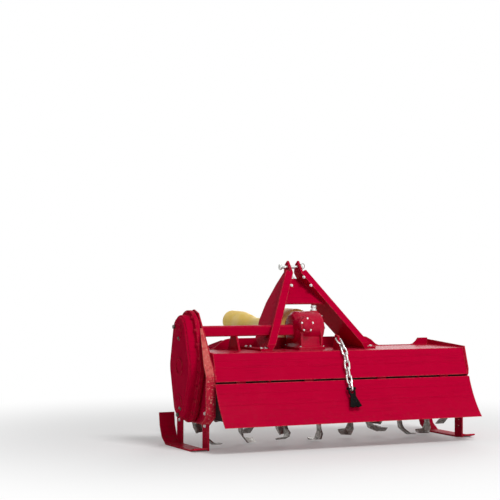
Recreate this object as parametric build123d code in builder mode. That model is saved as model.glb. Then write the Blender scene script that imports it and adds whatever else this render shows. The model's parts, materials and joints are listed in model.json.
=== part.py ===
from build123d import *
import math
import os

os.makedirs("parts", exist_ok=True)

# Rotavator on a three-point linkage, side gear drive on the left.
# Drawn in millimetres about the rotor axis: X to the right seen from behind,
# Y forward to the tractor, Z up. Every piece is moved to the floor frame when saved.

# ---- driving dimensions ----
ROTOR_RADIUS = 225.0        # blade tips
ROTOR_CLEARANCE = 8.0       # blade tips above the floor when parked on the skids
SOLE_Z = -(ROTOR_RADIUS + ROTOR_CLEARANCE)
HOOD_HALF = 750.0           # outer faces of the end plates
END_PLATE = 8.0
INSIDE_HALF = HOOD_HALF - END_PLATE
SHEET = 5.0
DECK_Z = 260.0
DECK_REAR_Y = -230.0
DECK_FRONT_Y = 145.0
HINGE_Y, HINGE_Z = -258.0, 122.0
DRIVE_Z = 374.0             # cross shaft and input shaft height
MAST_X = -80.0              # the linkage is set off to the left of the hood
TOP_PIN_Y, TOP_PIN_Z, TOP_PIN_RADIUS = 190.0, 695.0, 9.5
LOWER_PIN_Y, LOWER_PIN_Z, LOWER_PIN_RADIUS = 415.0, 235.0, 11.0
PIN_SPREAD = 726.0          # between the centres of the lower link balls
RUNNING = 0.05              # radial play of a shaft in its bore
PIN_PLAY = 0.25             # radial play of a hitch pin in its plates

# ---- where the floor frame lies ----
FRONT_Y = 1020.0            # tractor end of the driveshaft
REAR_Y = -402.0             # lower edge of the tailboard
LEFT_X = -843.0             # plugs of the side case
RIGHT_X = 835.0             # outer edge of the right skid
SHIFT = Location((-(LEFT_X + RIGHT_X) / 2, -(FRONT_Y + REAR_Y) / 2, -SOLE_Z))


# ---- drawing helpers ----
def yz_slab(x_from, x_to, outline, mode=Mode.ADD):
    """A flat plate across X with the outline given as (y, z) corners."""
    with BuildSketch(Plane.YZ.offset(x_from)) as face:
        with BuildLine():
            Polyline(*outline, close=True)
        make_face()
    extrude(face.sketch, amount=x_to - x_from, mode=mode)


def xz_slab(y_from, y_to, outline, mode=Mode.ADD):
    """A flat plate across Y with the outline given as (x, z) corners."""
    with BuildSketch(Plane.XZ.offset(-y_from)) as face:
        with BuildLine():
            Polyline(*outline, close=True)
        make_face()
    extrude(face.sketch, amount=y_from - y_to, mode=mode)


def round_slab(plane, amount, circles, sides=0, mode=Mode.ADD):
    """A plate whose outline is wrapped tight around circles given as (u, v, radius)."""
    with BuildSketch(plane) as face:
        for u, v, radius in circles:
            with Locations((u, v)):
                if sides:
                    RegularPolygon(radius, sides)
                else:
                    Circle(radius)
        make_hull()
    extrude(face.sketch, amount=amount, mode=mode)


def bar(plane, amount, u, v, radius, sides=0, mode=Mode.ADD):
    """A bar standing on a plane, round unless a number of sides is given."""
    with BuildSketch(plane) as face:
        with Locations((u, v)):
            if sides:
                RegularPolygon(radius, sides)
            else:
                Circle(radius)
    extrude(face.sketch, amount=amount, mode=mode)


def disc_x(x_from, x_to, y, z, radius, sides=0, mode=Mode.ADD):
    """A bar along X."""
    bar(Plane.YZ.offset(x_from), x_to - x_from, y, z, radius, sides, mode)


def disc_y(y_from, y_to, x, z, radius, sides=0, mode=Mode.ADD):
    """A bar along Y."""
    bar(Plane.XZ.offset(-y_from), y_from - y_to, x, z, radius, sides, mode)


def disc_z(z_from, z_to, x, y, radius, sides=0, mode=Mode.ADD):
    """A bar along Z."""
    bar(Plane.XY.offset(z_from), z_to - z_from, x, y, radius, sides, mode)


def block(x_from, x_to, y_from, y_to, z_from, z_to, mode=Mode.ADD):
    """A square block between two corners."""
    with Locations(((x_from + x_to) / 2, (y_from + y_to) / 2, (z_from + z_to) / 2)):
        Box(x_to - x_from, y_to - y_from, z_to - z_from, mode=mode)


def faceted_turning(x, z, sides, profile):
    """A many-sided turning about a line along Y, its closed half section given as (radius, y)."""
    rings = [
        [(x + radius * math.cos(2 * math.pi * k / sides), y, z + radius * math.sin(2 * math.pi * k / sides))
         for k in range(sides)]
        for radius, y in profile
    ]
    flats = []
    for ring, after in zip(rings, rings[1:] + rings[:1]):
        for k in range(sides):
            corners = [ring[k], ring[k - 1], after[k - 1], after[k]]
            flats.append(Face(Wire.make_polygon(corners, close=True)))
    return Solid(Shell(flats))


def ribbon(path, inner, outer):
    """Corners of a strip that follows a path, inner and outer being the offsets to its left."""
    sides = []
    for offset in (inner, outer):
        side = []
        for i, (u, v) in enumerate(path):
            normals = []
            for j in (i - 1, i):
                if 0 <= j < len(path) - 1:
                    du, dv = path[j + 1][0] - path[j][0], path[j + 1][1] - path[j][1]
                    length = math.hypot(du, dv)
                    normals.append((-dv / length, du / length))
            nu = sum(n[0] for n in normals) / len(normals)
            nv = sum(n[1] for n in normals) / len(normals)
            scale = offset / (nu * nu + nv * nv)
            side.append((u + nu * scale, v + nv * scale))
        sides.append(side)
    return sides[0] + sides[1][::-1]


def save(name, piece):
    """Move a finished piece to the floor frame and write it."""
    moved = piece.part.moved(SHIFT)
    moved.label = name
    export_step(moved, f"parts/{name}.step")


# ---- hood: rear panel, deck and front lip bent from one sheet ----
HOOD_LINE = [(-273.4, 120), (DECK_REAR_Y, DECK_Z), (DECK_FRONT_Y, DECK_Z), (228, 186)]
ROD_RADIUS = 6.0
LUG_THICK = 10.0
LUG_OUTLINE = [(-267, 122), (-262, 142), (-247, 142), (-247, 112), (-262, 112), (-266, 117)]
LUG_X = [-440.0, 0.0, 440.0]
with BuildPart() as hood_shell:
    yz_slab(-INSIDE_HALF, INSIDE_HALF, ribbon(HOOD_LINE, -SHEET, 0))
    for x in LUG_X:
        yz_slab(x - LUG_THICK / 2, x + LUG_THICK / 2, LUG_OUTLINE)
        disc_x(x - LUG_THICK / 2, x + LUG_THICK / 2, HINGE_Y, HINGE_Z, ROD_RADIUS, mode=Mode.SUBTRACT)

# ---- end plates, the left one carried up behind the gear case ----
BORE_RADIUS = 45.0
BORE_SIDES = 16             # the bearing seats are drawn many-sided
PLATE_LOW = [(-274, 150), (-273, 124), (-264, 112), (-264, -56), (-188, -105), (200, -105),
             (242, -60), (242, 196)]
LEFT_PLATE = PLATE_LOW + [(150, 330), (100, 410), (62, 458), (0, 476), (-56, 458), (-92, 408)]
RIGHT_PLATE = PLATE_LOW + [(158, 292), (-236, 270)]
with BuildPart() as end_plate_left:
    yz_slab(-HOOD_HALF, -INSIDE_HALF, LEFT_PLATE)
    disc_x(-HOOD_HALF, -INSIDE_HALF, 0, 0, BORE_RADIUS, BORE_SIDES, Mode.SUBTRACT)

with BuildPart() as end_plate_right:
    yz_slab(INSIDE_HALF, HOOD_HALF, RIGHT_PLATE)
    disc_x(INSIDE_HALF, HOOD_HALF, 0, 0, BORE_RADIUS, BORE_SIDES, Mode.SUBTRACT)

# ---- front member: high at the mast, dipped on both sides, blocks at the ends ----
BEAM_TOP = [                # x, z
    (-742, 299), (-683, 299), (-670, 282), (-652, 268), (-628, 262), (-589, 262), (-565, 272),
    (-538, 295), (-506, 311), (-474, 316), (314, 316), (346, 311), (378, 295), (405, 272),
    (429, 262), (628, 262), (652, 268), (670, 282), (683, 299), (742, 299),
]
BEAM_THICK = 12.0
BEAM_REAR_Y = DECK_FRONT_Y - BEAM_THICK
DRIVE_GAP_HALF = 70.0       # the member is cut out around the gearbox
BEAM_HIGH = 330.0
with BuildPart() as front_beam:
    xz_slab(BEAM_REAR_Y, DECK_FRONT_Y, [(-INSIDE_HALF, DECK_Z)] + BEAM_TOP + [(INSIDE_HALF, DECK_Z)])
    block(MAST_X - DRIVE_GAP_HALF, MAST_X + DRIVE_GAP_HALF, BEAM_REAR_Y, DECK_FRONT_Y,
          DECK_Z, BEAM_HIGH, mode=Mode.SUBTRACT)

# ---- cross tube from the side case to the gearbox ----
TUBE_HALF_Y, TUBE_HALF_Z = 40.0, 27.0
TUBE_Z = 362.0
TUBE_CORNER = 10.0
BARREL_LEFT, BARREL_RIGHT = -190.0, -16.0
with BuildPart() as cross_tube:
    block(-INSIDE_HALF, BARREL_LEFT, -TUBE_HALF_Y, TUBE_HALF_Y,
          TUBE_Z - TUBE_HALF_Z, TUBE_Z + TUBE_HALF_Z)
    chamfer(cross_tube.edges().filter_by(Axis.X), length=TUBE_CORNER / 2)

BRACKET_X = -520.0
BRACKET_THICK = 10.0
with BuildPart() as tube_brackets:
    yz_slab(BRACKET_X - BRACKET_THICK / 2, BRACKET_X + BRACKET_THICK / 2,
            [(-72, DECK_Z), (70, DECK_Z), (34, TUBE_Z - TUBE_HALF_Z), (-34, TUBE_Z - TUBE_HALF_Z)])

# ---- gearbox: a cast barrel on a sloped foot, with a neck forward and a cover boss behind ----
BARREL_RADIUS = 86.0
BARREL_EDGE = 16.0
GEARBOX_SIDES = 24          # the casting's round faces are drawn many-sided
FOOT_HALF_Y, FOOT_HIGH = 92.0, 16.0
NECK_RADIUS, NECK_FRONT_Y = 66.0, 146.0
SHAFT_RADIUS = 17.5
COVER_X, COVER_Z, COVER_RADIUS = -148.0, 392.0, 40.0
COVER_SEAT_Y = -100.0
PLUG_X, PLUG_RADIUS, PLUG_HIGH = -53.0, 18.0, 28.0
PLUG_SEAT_Z = DRIVE_Z + BARREL_RADIUS + 3
END_CAP_RADIUS = 60.0
with BuildPart() as gearbox_housing:
    disc_x(BARREL_LEFT, BARREL_RIGHT - 8, 0, DRIVE_Z, BARREL_RADIUS, GEARBOX_SIDES)
    for end in (0, -1):
        chamfer(gearbox_housing.edges().group_by(Axis.X)[end], length=BARREL_EDGE)
    disc_x(BARREL_RIGHT - 8, BARREL_RIGHT, 0, DRIVE_Z, END_CAP_RADIUS, GEARBOX_SIDES)
    yz_slab(BARREL_LEFT + 6, BARREL_RIGHT - 12, [(-FOOT_HALF_Y, DECK_Z), (FOOT_HALF_Y, DECK_Z),
                        (FOOT_HALF_Y, DECK_Z + FOOT_HIGH), (76, 310), (76, 364), (-76, 364), (-76, 310), (-FOOT_HALF_Y, DECK_Z + FOOT_HIGH)])
    for x in (BARREL_LEFT + BARREL_EDGE, BARREL_RIGHT - BARREL_EDGE - 24):
        yz_slab(x, x + 16, [(-FOOT_HALF_Y, DECK_Z), (FOOT_HALF_Y, DECK_Z),
                            (BARREL_RADIUS, DRIVE_Z), (-BARREL_RADIUS, DRIVE_Z)])
    disc_y(0, NECK_FRONT_Y, MAST_X, DRIVE_Z, NECK_RADIUS, GEARBOX_SIDES)
    disc_y(COVER_SEAT_Y, 0, COVER_X, COVER_Z, COVER_RADIUS + 2, GEARBOX_SIDES)
    disc_z(DRIVE_Z, PLUG_SEAT_Z, PLUG_X, 0, PLUG_RADIUS + 2, 12)
    disc_y(110, NECK_FRONT_Y, MAST_X, DRIVE_Z, SHAFT_RADIUS + RUNNING, mode=Mode.SUBTRACT)

with BuildPart() as gearbox_rear_cover:
    disc_y(COVER_SEAT_Y - 12, COVER_SEAT_Y, COVER_X, COVER_Z, COVER_RADIUS, GEARBOX_SIDES)
    disc_y(COVER_SEAT_Y - 20, COVER_SEAT_Y - 12, COVER_X, COVER_Z, COVER_RADIUS - 12, GEARBOX_SIDES)
    chamfer(gearbox_rear_cover.edges().group_by(Axis.Y)[0], length=5)

with BuildPart() as filler_plug:
    disc_z(PLUG_SEAT_Z, PLUG_SEAT_Z + 6, PLUG_X, 0, PLUG_RADIUS, 12)
    disc_z(PLUG_SEAT_Z + 6, PLUG_SEAT_Z + PLUG_HIGH, PLUG_X, 0, PLUG_RADIUS - 3, 6)

# plastic cup around the input coupling, its floor bolted to the neck
CUP_RADIUS, CUP_WALL, CUP_FLOOR, CUP_FRONT_Y = 95.0, 4.0, 8.0, 270.0
CUP_HOLE = 34.0
with BuildPart() as input_guard:
    disc_y(NECK_FRONT_Y, CUP_FRONT_Y, MAST_X, DRIVE_Z, CUP_RADIUS, GEARBOX_SIDES)
    disc_y(NECK_FRONT_Y + CUP_FLOOR, CUP_FRONT_Y, MAST_X, DRIVE_Z, CUP_RADIUS - CUP_WALL,
           GEARBOX_SIDES, Mode.SUBTRACT)
    disc_y(NECK_FRONT_Y, NECK_FRONT_Y + CUP_FLOOR, MAST_X, DRIVE_Z, CUP_HOLE, mode=Mode.SUBTRACT)

# ---- mast: two bent arms, each a slanted web with a flange along its rear edge ----
ARM = 12.0
EAR_HALF = 31.0             # ear plate centre from the mast centre
EAR_TOP_Z = 740.0
ARM_BEND_Z = 665.0
ARM_SLOPE = 0.62            # outward run of an arm for each unit down
ARM_FOOT = 62.0             # length of the foot on the deck
FLANGE_DEEP = 32.0
ARM_OUTLINE = [             # y, z
    (-118, DECK_Z), (-118, 293), (150, 680), (190, 729), (222, 704), (240, 600),
    (238, 500), (206, 410), (BEAM_REAR_Y, 318), (BEAM_REAR_Y, DECK_Z),
]
REAR_BAND = [(-118, DECK_Z), (-118, 293), (150, 680), (159, 675), (-108, 288), (-108, DECK_Z)]
PAST_ALL = 800.0            # further than any part of the mast


def arm_line(side):
    """Centre line of an arm seen from behind, from its foot to the ear, as (x, z)."""
    foot_half = EAR_HALF + ARM_SLOPE * (ARM_BEND_Z - DECK_Z - ARM / 2)
    return [
        (MAST_X + side * (foot_half + ARM_FOOT), DECK_Z + ARM / 2),
        (MAST_X + side * foot_half, DECK_Z + ARM / 2),
        (MAST_X + side * EAR_HALF, ARM_BEND_Z),
        (MAST_X + side * EAR_HALF, EAR_TOP_Z),
    ]


def arm_solid(side):
    """One bent arm: foot, slanted web, upright ear and the flange along its rear edge."""
    line = arm_line(side)
    with BuildPart() as web:
        xz_slab(-130, 260, ribbon(line, -ARM / 2, ARM / 2))
        yz_slab(-PAST_ALL, PAST_ALL, ARM_OUTLINE, mode=Mode.INTERSECT)
    with BuildPart() as band:
        xz_slab(-130, 260, ribbon(line[1:3], *sorted((0, -side * FLANGE_DEEP))))
        yz_slab(-PAST_ALL, PAST_ALL, REAR_BAND, mode=Mode.INTERSECT)
    return web.part + band.part


with BuildPart() as mast_arm_left:
    add(arm_solid(-1))
    block(-400, BARREL_LEFT - 10, -TUBE_HALF_Y - 1, TUBE_HALF_Y + 1, TUBE_Z - TUBE_HALF_Z - 1,
          TUBE_Z + TUBE_HALF_Z + 1, mode=Mode.SUBTRACT)
    disc_x(-200, 0, TOP_PIN_Y, TOP_PIN_Z, TOP_PIN_RADIUS + PIN_PLAY, mode=Mode.SUBTRACT)

with BuildPart() as mast_arm_right:
    add(arm_solid(1))
    disc_x(-200, 0, TOP_PIN_Y, TOP_PIN_Z, TOP_PIN_RADIUS + PIN_PLAY, mode=Mode.SUBTRACT)


def arm_half(z):
    """Inner face of an arm from the mast centre at a height."""
    return EAR_HALF + ARM_SLOPE * max(0, ARM_BEND_Z - z) - ARM * 0.6


CROSS_LINE = [(68, 497), (216, 629)]      # y, z, down the middle of the plate
CROSS_THICK = 8.0
CROSS_LOW, CROSS_HIGH = 490, 635
with BuildPart() as mast_cross_plate:
    yz_slab(-PAST_ALL, PAST_ALL, ribbon(CROSS_LINE, -CROSS_THICK / 2, CROSS_THICK / 2))
    xz_slab(40, 240, [
        (MAST_X - arm_half(CROSS_LOW), CROSS_LOW), (MAST_X + arm_half(CROSS_LOW), CROSS_LOW),
        (MAST_X + arm_half(CROSS_HIGH), CROSS_HIGH), (MAST_X - arm_half(CROSS_HIGH), CROSS_HIGH),
    ], mode=Mode.INTERSECT)

PIN_HEAD = 8.0
HANDLE_RADIUS, HANDLE_REACH = 5.0, 60.0
with BuildPart() as top_link_pin:
    disc_x(MAST_X - 74, MAST_X + 56, TOP_PIN_Y, TOP_PIN_Z, TOP_PIN_RADIUS)
    disc_x(MAST_X - 74 - PIN_HEAD, MAST_X - 74, TOP_PIN_Y, TOP_PIN_Z, 17, 12)
    disc_y(TOP_PIN_Y - HANDLE_REACH, TOP_PIN_Y, MAST_X - 78, TOP_PIN_Z, HANDLE_RADIUS, 8)

# ---- lower linkage clevises, a pair of drilled plates at each lower link ----
CLEVIS_GAP_HALF = 26.0
CLEVIS_PLATE = 10.0
CLEVIS_OUTLINE = [          # y, z
    (DECK_FRONT_Y, 300), (DECK_FRONT_Y, DECK_Z), (228, 186), (LOWER_PIN_Y, 201),
    (LOWER_PIN_Y + 24, 211), (LOWER_PIN_Y + 34, LOWER_PIN_Z), (LOWER_PIN_Y + 24, 259),
    (LOWER_PIN_Y, 269), (260, 300),
]
SPACER_Y, SPACER_Z, SPACER_HALF = 226.0, 262.0, 14.0


def clevis(x_centre):
    """Two plates standing forward of the hood, joined by a spacer near their root."""
    with BuildPart() as pair:
        for side in (-1, 1):
            near = x_centre + side * CLEVIS_GAP_HALF
            far = near + side * CLEVIS_PLATE
            yz_slab(min(near, far), max(near, far), CLEVIS_OUTLINE)
        block(x_centre - CLEVIS_GAP_HALF, x_centre + CLEVIS_GAP_HALF, SPACER_Y - SPACER_HALF,
              SPACER_Y + SPACER_HALF, SPACER_Z - SPACER_HALF, SPACER_Z + SPACER_HALF)
        disc_x(x_centre - 60, x_centre + 60, LOWER_PIN_Y, LOWER_PIN_Z,
               LOWER_PIN_RADIUS + PIN_PLAY, mode=Mode.SUBTRACT)
    return pair.part


with BuildPart() as hitch_clevis_left:
    add(clevis(MAST_X - PIN_SPREAD / 2))

with BuildPart() as hitch_clevis_right:
    add(clevis(MAST_X + PIN_SPREAD / 2))

PIN_HALF = 58.0
with BuildPart() as lower_link_pins:
    for side in (-1, 1):
        x_mid = MAST_X + side * PIN_SPREAD / 2
        disc_x(x_mid - PIN_HALF, x_mid + PIN_HALF, LOWER_PIN_Y, LOWER_PIN_Z, LOWER_PIN_RADIUS)
        head = x_mid - side * PIN_HALF
        disc_x(head - PIN_HEAD / 2, head + PIN_HEAD / 2, LOWER_PIN_Y, LOWER_PIN_Z, 18, 12)

# ---- side gear case: a cast body, a flange all round and a domed cover ----
CASE_ROUNDS = [(0, 360, 88), (-8, 186, 136), (0, 0, 79)]      # y, z, radius
CASE_SIDES = 36             # corners of a full round of the case
CASE_BODY_X = -776.0
CASE_FACE_X = -833.0
CASE_FLANGE_WIDE, CASE_FLANGE = 24.0, 12.0
COVER_FLANGE = 8.0
COVER_STEP = 9.0            # the cover's face stands out from its shoulder
CASE_BOSSES = [(0, 360, 40), (-8, 186, 46), (0, 0, 44)]       # y, z, radius
PLUG_PLACES = [(52, 386), (0, -62)]                           # y, z
STUB_RADIUS = 25.0
RIM = 12.0                  # width of the idler boss rim
BOSS_SIDES = 20


def case_slab(x_from, x_to, grow):
    """A slab around the three gears, its outline grown by the given width."""
    rounds = [(y, z, radius + grow) for y, z, radius in CASE_ROUNDS]
    round_slab(Plane.YZ.offset(x_from), x_to - x_from, rounds, CASE_SIDES)


with BuildPart() as side_case_body:
    case_slab(CASE_BODY_X, -HOOD_HALF, 8)
    case_slab(CASE_BODY_X, CASE_BODY_X + CASE_FLANGE, CASE_FLANGE_WIDE)
    disc_x(-HOOD_HALF, -INSIDE_HALF, 0, 0, BORE_RADIUS, BORE_SIDES)
    disc_x(-HOOD_HALF - 14, -INSIDE_HALF, 0, 0, STUB_RADIUS + RUNNING, mode=Mode.SUBTRACT)

with BuildPart() as side_case_cover:
    case_slab(CASE_FACE_X, CASE_FACE_X + COVER_STEP, -COVER_STEP)
    case_slab(CASE_FACE_X + COVER_STEP, CASE_BODY_X - COVER_FLANGE, 0)
    case_slab(CASE_BODY_X - COVER_FLANGE, CASE_BODY_X, CASE_FLANGE_WIDE)
    for y, z, radius in CASE_BOSSES:
        disc_x(CASE_FACE_X - 4, CASE_FACE_X, y, z, radius, BOSS_SIDES)
    y, z, radius = CASE_BOSSES[1]
    disc_x(CASE_FACE_X - 4, CASE_FACE_X, y, z, radius - RIM, BOSS_SIDES, Mode.SUBTRACT)

with BuildPart() as case_plugs:
    for y, z in PLUG_PLACES:
        disc_x(CASE_FACE_X, LEFT_X, y, z, 11, 6)

with BuildPart() as bearing_housing_right:
    disc_x(HOOD_HALF, HOOD_HALF + 12, 0, 0, 92, 8)
    disc_x(HOOD_HALF + 12, HOOD_HALF + 40, 0, 0, 58, GEARBOX_SIDES)
    chamfer(bearing_housing_right.edges().group_by(Axis.X)[-1], length=8)
    disc_x(INSIDE_HALF, HOOD_HALF, 0, 0, BORE_RADIUS, BORE_SIDES)
    disc_x(INSIDE_HALF, HOOD_HALF + 14, 0, 0, STUB_RADIUS + RUNNING, mode=Mode.SUBTRACT)

# ---- depth skids, set in their lowest holes ----
SKID_WIDE = 65.0
SKID_SHEET = 8.0
SKID_LINE = [(-208, SOLE_Z + 12), (-160, SOLE_Z), (168, SOLE_Z), (222, SOLE_Z + 34),
             (252, SOLE_Z + 92), (262, SOLE_Z + 160)]
UPRIGHTS = [(-206, -136), (128, 198)]     # rear and front edge of each upright, y
UPRIGHT_TOP = -20.0
HOLE_STEP, HOLE_COUNT, HOLE_RADIUS = 31.0, 5, 7.0


def skid(side):
    """A sole strap turned up in front, with two drilled uprights against the end plate."""
    inner = side * HOOD_HALF
    outer = inner + side * (SKID_WIDE + 20)
    plate = inner + side * SKID_SHEET
    with BuildPart() as shoe:
        yz_slab(min(inner, outer), max(inner, outer), ribbon(SKID_LINE, 0, SKID_SHEET))
        for rear, front in UPRIGHTS:
            yz_slab(min(inner, plate), max(inner, plate), [
                (rear, SOLE_Z + 4), (front, SOLE_Z + 4), (front, UPRIGHT_TOP - 12),
                (front - 12, UPRIGHT_TOP), (rear + 12, UPRIGHT_TOP), (rear, UPRIGHT_TOP - 12),
            ])
            with BuildSketch(Plane.YZ.offset(inner)) as holes:
                with Locations(((rear + front) / 2, UPRIGHT_TOP - 24 - HOLE_STEP * (HOLE_COUNT - 1) / 2)):
                    with GridLocations(0, HOLE_STEP, 1, HOLE_COUNT):
                        RegularPolygon(HOLE_RADIUS, 8)
            extrude(holes.sketch, amount=plate - inner, mode=Mode.SUBTRACT)
    return shoe.part


with BuildPart() as skid_left:
    add(skid(-1))

with BuildPart() as skid_right:
    add(skid(1))

# ---- tailboard: a curved sheet hung on a rod under the hood's rear edge ----
TAIL_SHEET = 4.0
TAIL_TOP = (-279.0, 110.0)
TAIL_LOW = (REAR_Y, -98.0)
TAIL_RADIUS = 560.0
KNUCKLE_RADIUS = 9.0
KNUCKLE_HALF = 25.0
HINGE_X = [-600.0, -215.0, 215.0, 600.0]
STRAP_OUTLINE = [(-262, HINGE_Z), (-254, HINGE_Z), (-254, 84), (-285, 84), (-283, 92), (-262, 92)]
chord = math.dist(TAIL_TOP, TAIL_LOW)
along = ((TAIL_LOW[0] - TAIL_TOP[0]) / chord, (TAIL_LOW[1] - TAIL_TOP[1]) / chord)
reach = math.sqrt(TAIL_RADIUS ** 2 - (chord / 2) ** 2)
TAIL_CENTRE = (
    (TAIL_TOP[0] + TAIL_LOW[0]) / 2 + along[1] * reach,
    (TAIL_TOP[1] + TAIL_LOW[1]) / 2 - along[0] * reach,
)


def tail_point(z, offset):
    """A point off the rear face of the tailboard at a height, the offset measured to the rear."""
    radius = TAIL_RADIUS - offset
    return (TAIL_CENTRE[0] + math.sqrt(radius ** 2 - (z - TAIL_CENTRE[1]) ** 2), z)


def tail_arc(offset):
    """Three heights down the tailboard's section."""
    middle = (TAIL_TOP[1] + TAIL_LOW[1]) / 2
    return [tail_point(z, offset) for z in (TAIL_TOP[1], middle, TAIL_LOW[1])]


with BuildPart() as tailboard:
    with BuildSketch(Plane.YZ.offset(-HOOD_HALF)) as tail_face:
        rear, front = tail_arc(0), tail_arc(-TAIL_SHEET)
        with BuildLine():
            ThreePointArc(*rear)
            Line(rear[2], front[2])
            ThreePointArc(*front[::-1])
            Line(front[0], rear[0])
        make_face()
    extrude(tail_face.sketch, amount=2 * HOOD_HALF)
    for x in HINGE_X:
        yz_slab(x - KNUCKLE_HALF, x + KNUCKLE_HALF, STRAP_OUTLINE)
        disc_x(x - KNUCKLE_HALF, x + KNUCKLE_HALF, HINGE_Y, HINGE_Z, KNUCKLE_RADIUS, 12)
        disc_x(x - KNUCKLE_HALF, x + KNUCKLE_HALF, HINGE_Y, HINGE_Z, ROD_RADIUS + RUNNING,
               mode=Mode.SUBTRACT)

with BuildPart() as hinge_rod:
    disc_x(-INSIDE_HALF, INSIDE_HALF, HINGE_Y, HINGE_Z, ROD_RADIUS)

# ---- tailboard chain: oval links threaded through each other and through the lug ----
LINK_PITCH = 40.4           # inside length of a link
LINK_STEP = 38.2            # from one joint of the chain to the next
LINK_WIRE = 4.0
LINK_HALF_WIDE = 10.0
LUG_HOLE = (-166.0, 322.0)
LUG_HOLE_RADIUS = 8.0
LUG_HANG = 6.6              # from the middle of the lug's hole to the top link's bend
CHAIN_LEANS = [56, 50, 36, 22, 14, 17, 24, 25]     # degrees from the vertical, top link first
LINK_END = [0, 36, 72, 108, 144, 180]              # corners of the wire's bend, in degrees


def link(y, z, lean, turned):
    """One oval link centred at y, z, leaning to the rear as it goes down, turned across or not."""
    half = LINK_PITCH / 2 + LINK_WIRE - LINK_HALF_WIDE
    bend = [(LINK_HALF_WIDE * math.cos(math.radians(a)), half + LINK_HALF_WIDE * math.sin(math.radians(a)))
            for a in LINK_END]
    with BuildPart() as ring:
        with BuildLine() as loop:
            Polyline(*[(x, 0, up) for x, up in bend], *[(-x, 0, -up) for x, up in bend], close=True)
        with BuildSketch(Plane((LINK_HALF_WIDE, 0, 0))) as wire:
            RegularPolygon(LINK_WIRE, 6)
        sweep(wire.sketch, path=loop.line, transition=Transition.RIGHT)
    turn = Rot(0, 0, 90 if turned else 0)
    return Pos(0, y, z) * Rot(-lean, 0, 0) * turn * ring.part


with BuildPart() as tailboard_chain:
    joint_y = LUG_HOLE[0] - math.sin(math.radians(CHAIN_LEANS[0])) * LUG_HANG
    joint_z = LUG_HOLE[1] - math.cos(math.radians(CHAIN_LEANS[0])) * LUG_HANG
    for index, lean in enumerate(CHAIN_LEANS):
        half_y = math.sin(math.radians(lean)) * LINK_STEP / 2
        half_z = math.cos(math.radians(lean)) * LINK_STEP / 2
        add(link(joint_y - half_y, joint_z - half_z, lean, index % 2))
        joint_y -= 2 * half_y
        joint_z -= 2 * half_z

with BuildPart() as chain_lug:
    yz_slab(-5, 5, [(-200, DECK_Z), (-130, DECK_Z), (-148, 340), (-182, 334)])
    disc_x(-5, 5, LUG_HOLE[0], LUG_HOLE[1], LUG_HOLE_RADIUS, mode=Mode.SUBTRACT)

HOOK_THICK = 6.0
HOOK_LEAN = 30.0            # the plate's lean, close to the tailboard's slope
HOOK_EYE = (joint_y - 3.0, joint_z - 6.6)
HOOK_EYE_RADIUS = 8.5
HOOK_PLATE = [(-12, -6), (12, -6), (34, -72), (18, -92), (-26, -84)]     # across, up the plate
POST_RADIUS, POST_DROP, POST_LONG = 11.0, 56.0, 26.0
HOOK_PLANE = Plane(origin=(0, HOOK_EYE[0], HOOK_EYE[1]), x_dir=(1, 0, 0),
                   z_dir=(0, -math.cos(math.radians(HOOK_LEAN)), math.sin(math.radians(HOOK_LEAN))))
with BuildPart() as chain_hook:
    with BuildSketch(HOOK_PLANE.offset(-HOOK_THICK / 2)) as hook_face:
        Circle(15)
        with BuildLine():
            Polyline(*HOOK_PLATE, close=True)
        make_face()
        Circle(HOOK_EYE_RADIUS, mode=Mode.SUBTRACT)
    extrude(hook_face.sketch, amount=HOOK_THICK)
    with BuildSketch(HOOK_PLANE.offset(-POST_LONG)) as post_face:
        with Locations((0, -POST_DROP)):
            RegularPolygon(POST_RADIUS, 12)
    extrude(post_face.sketch, amount=POST_LONG - HOOK_THICK / 2)
    with BuildSketch(Plane.YZ.offset(-60)) as sheet_side:
        rear = tail_arc(0)
        with BuildLine():
            ThreePointArc(*rear)
            Polyline(rear[2], (-200, TAIL_LOW[1]), (-200, TAIL_TOP[1]), rear[0])
        make_face()
    extrude(sheet_side.sketch, amount=120, mode=Mode.SUBTRACT)

# ---- bladed rotor: flanges on a tube, each with six L-shaped blades turned both ways ----
ROTOR_TUBE_RADIUS = 38.0
ROTOR_HALF = 730.0
FLANGE_X = [-700.0, -466.0, -233.0, 0.0, 233.0, 466.0, 700.0]
FLANGE_RADIUS = 92.0
FLANGE_THICK = 10.0
TUBE_SIDES, FLANGE_SIDES = 16, 12
BLADES_PER_FLANGE = 6
FLANGE_TWIST = 24.0         # each flange is turned on from the one before
BLADE = 8.0
BLADE_REACH = 78.0
BLADE_ROOT = -62.0
# swept-back outline of a blade from the side: y, z, down the back and up the cutting edge
BLADE_OUTLINE = [
    (24, BLADE_ROOT), (-16, BLADE_ROOT), (-17, -112), (-37, -166), (-86, -208), (-40, -221.4),
    (2, -180), (22, -118),
]


def blade(side):
    """One blade, its shank on the flange at x = 0 and its wing turned to the given side."""
    start = side * FLANGE_THICK / 2
    wing_z = -ROTOR_RADIUS + 12
    line = [                # x, z, down the shank and out along the wing
        (start + side * BLADE / 2, BLADE_ROOT), (start + side * BLADE / 2, wing_z + 28),
        (start + side * (BLADE / 2 + 26), wing_z), (start + side * BLADE_REACH, wing_z - 2),
    ]
    with BuildPart() as one:
        xz_slab(-140, 80, ribbon(line, -BLADE / 2, BLADE / 2))
        yz_slab(-200, 200, BLADE_OUTLINE, mode=Mode.INTERSECT)
    return one.part


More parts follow.
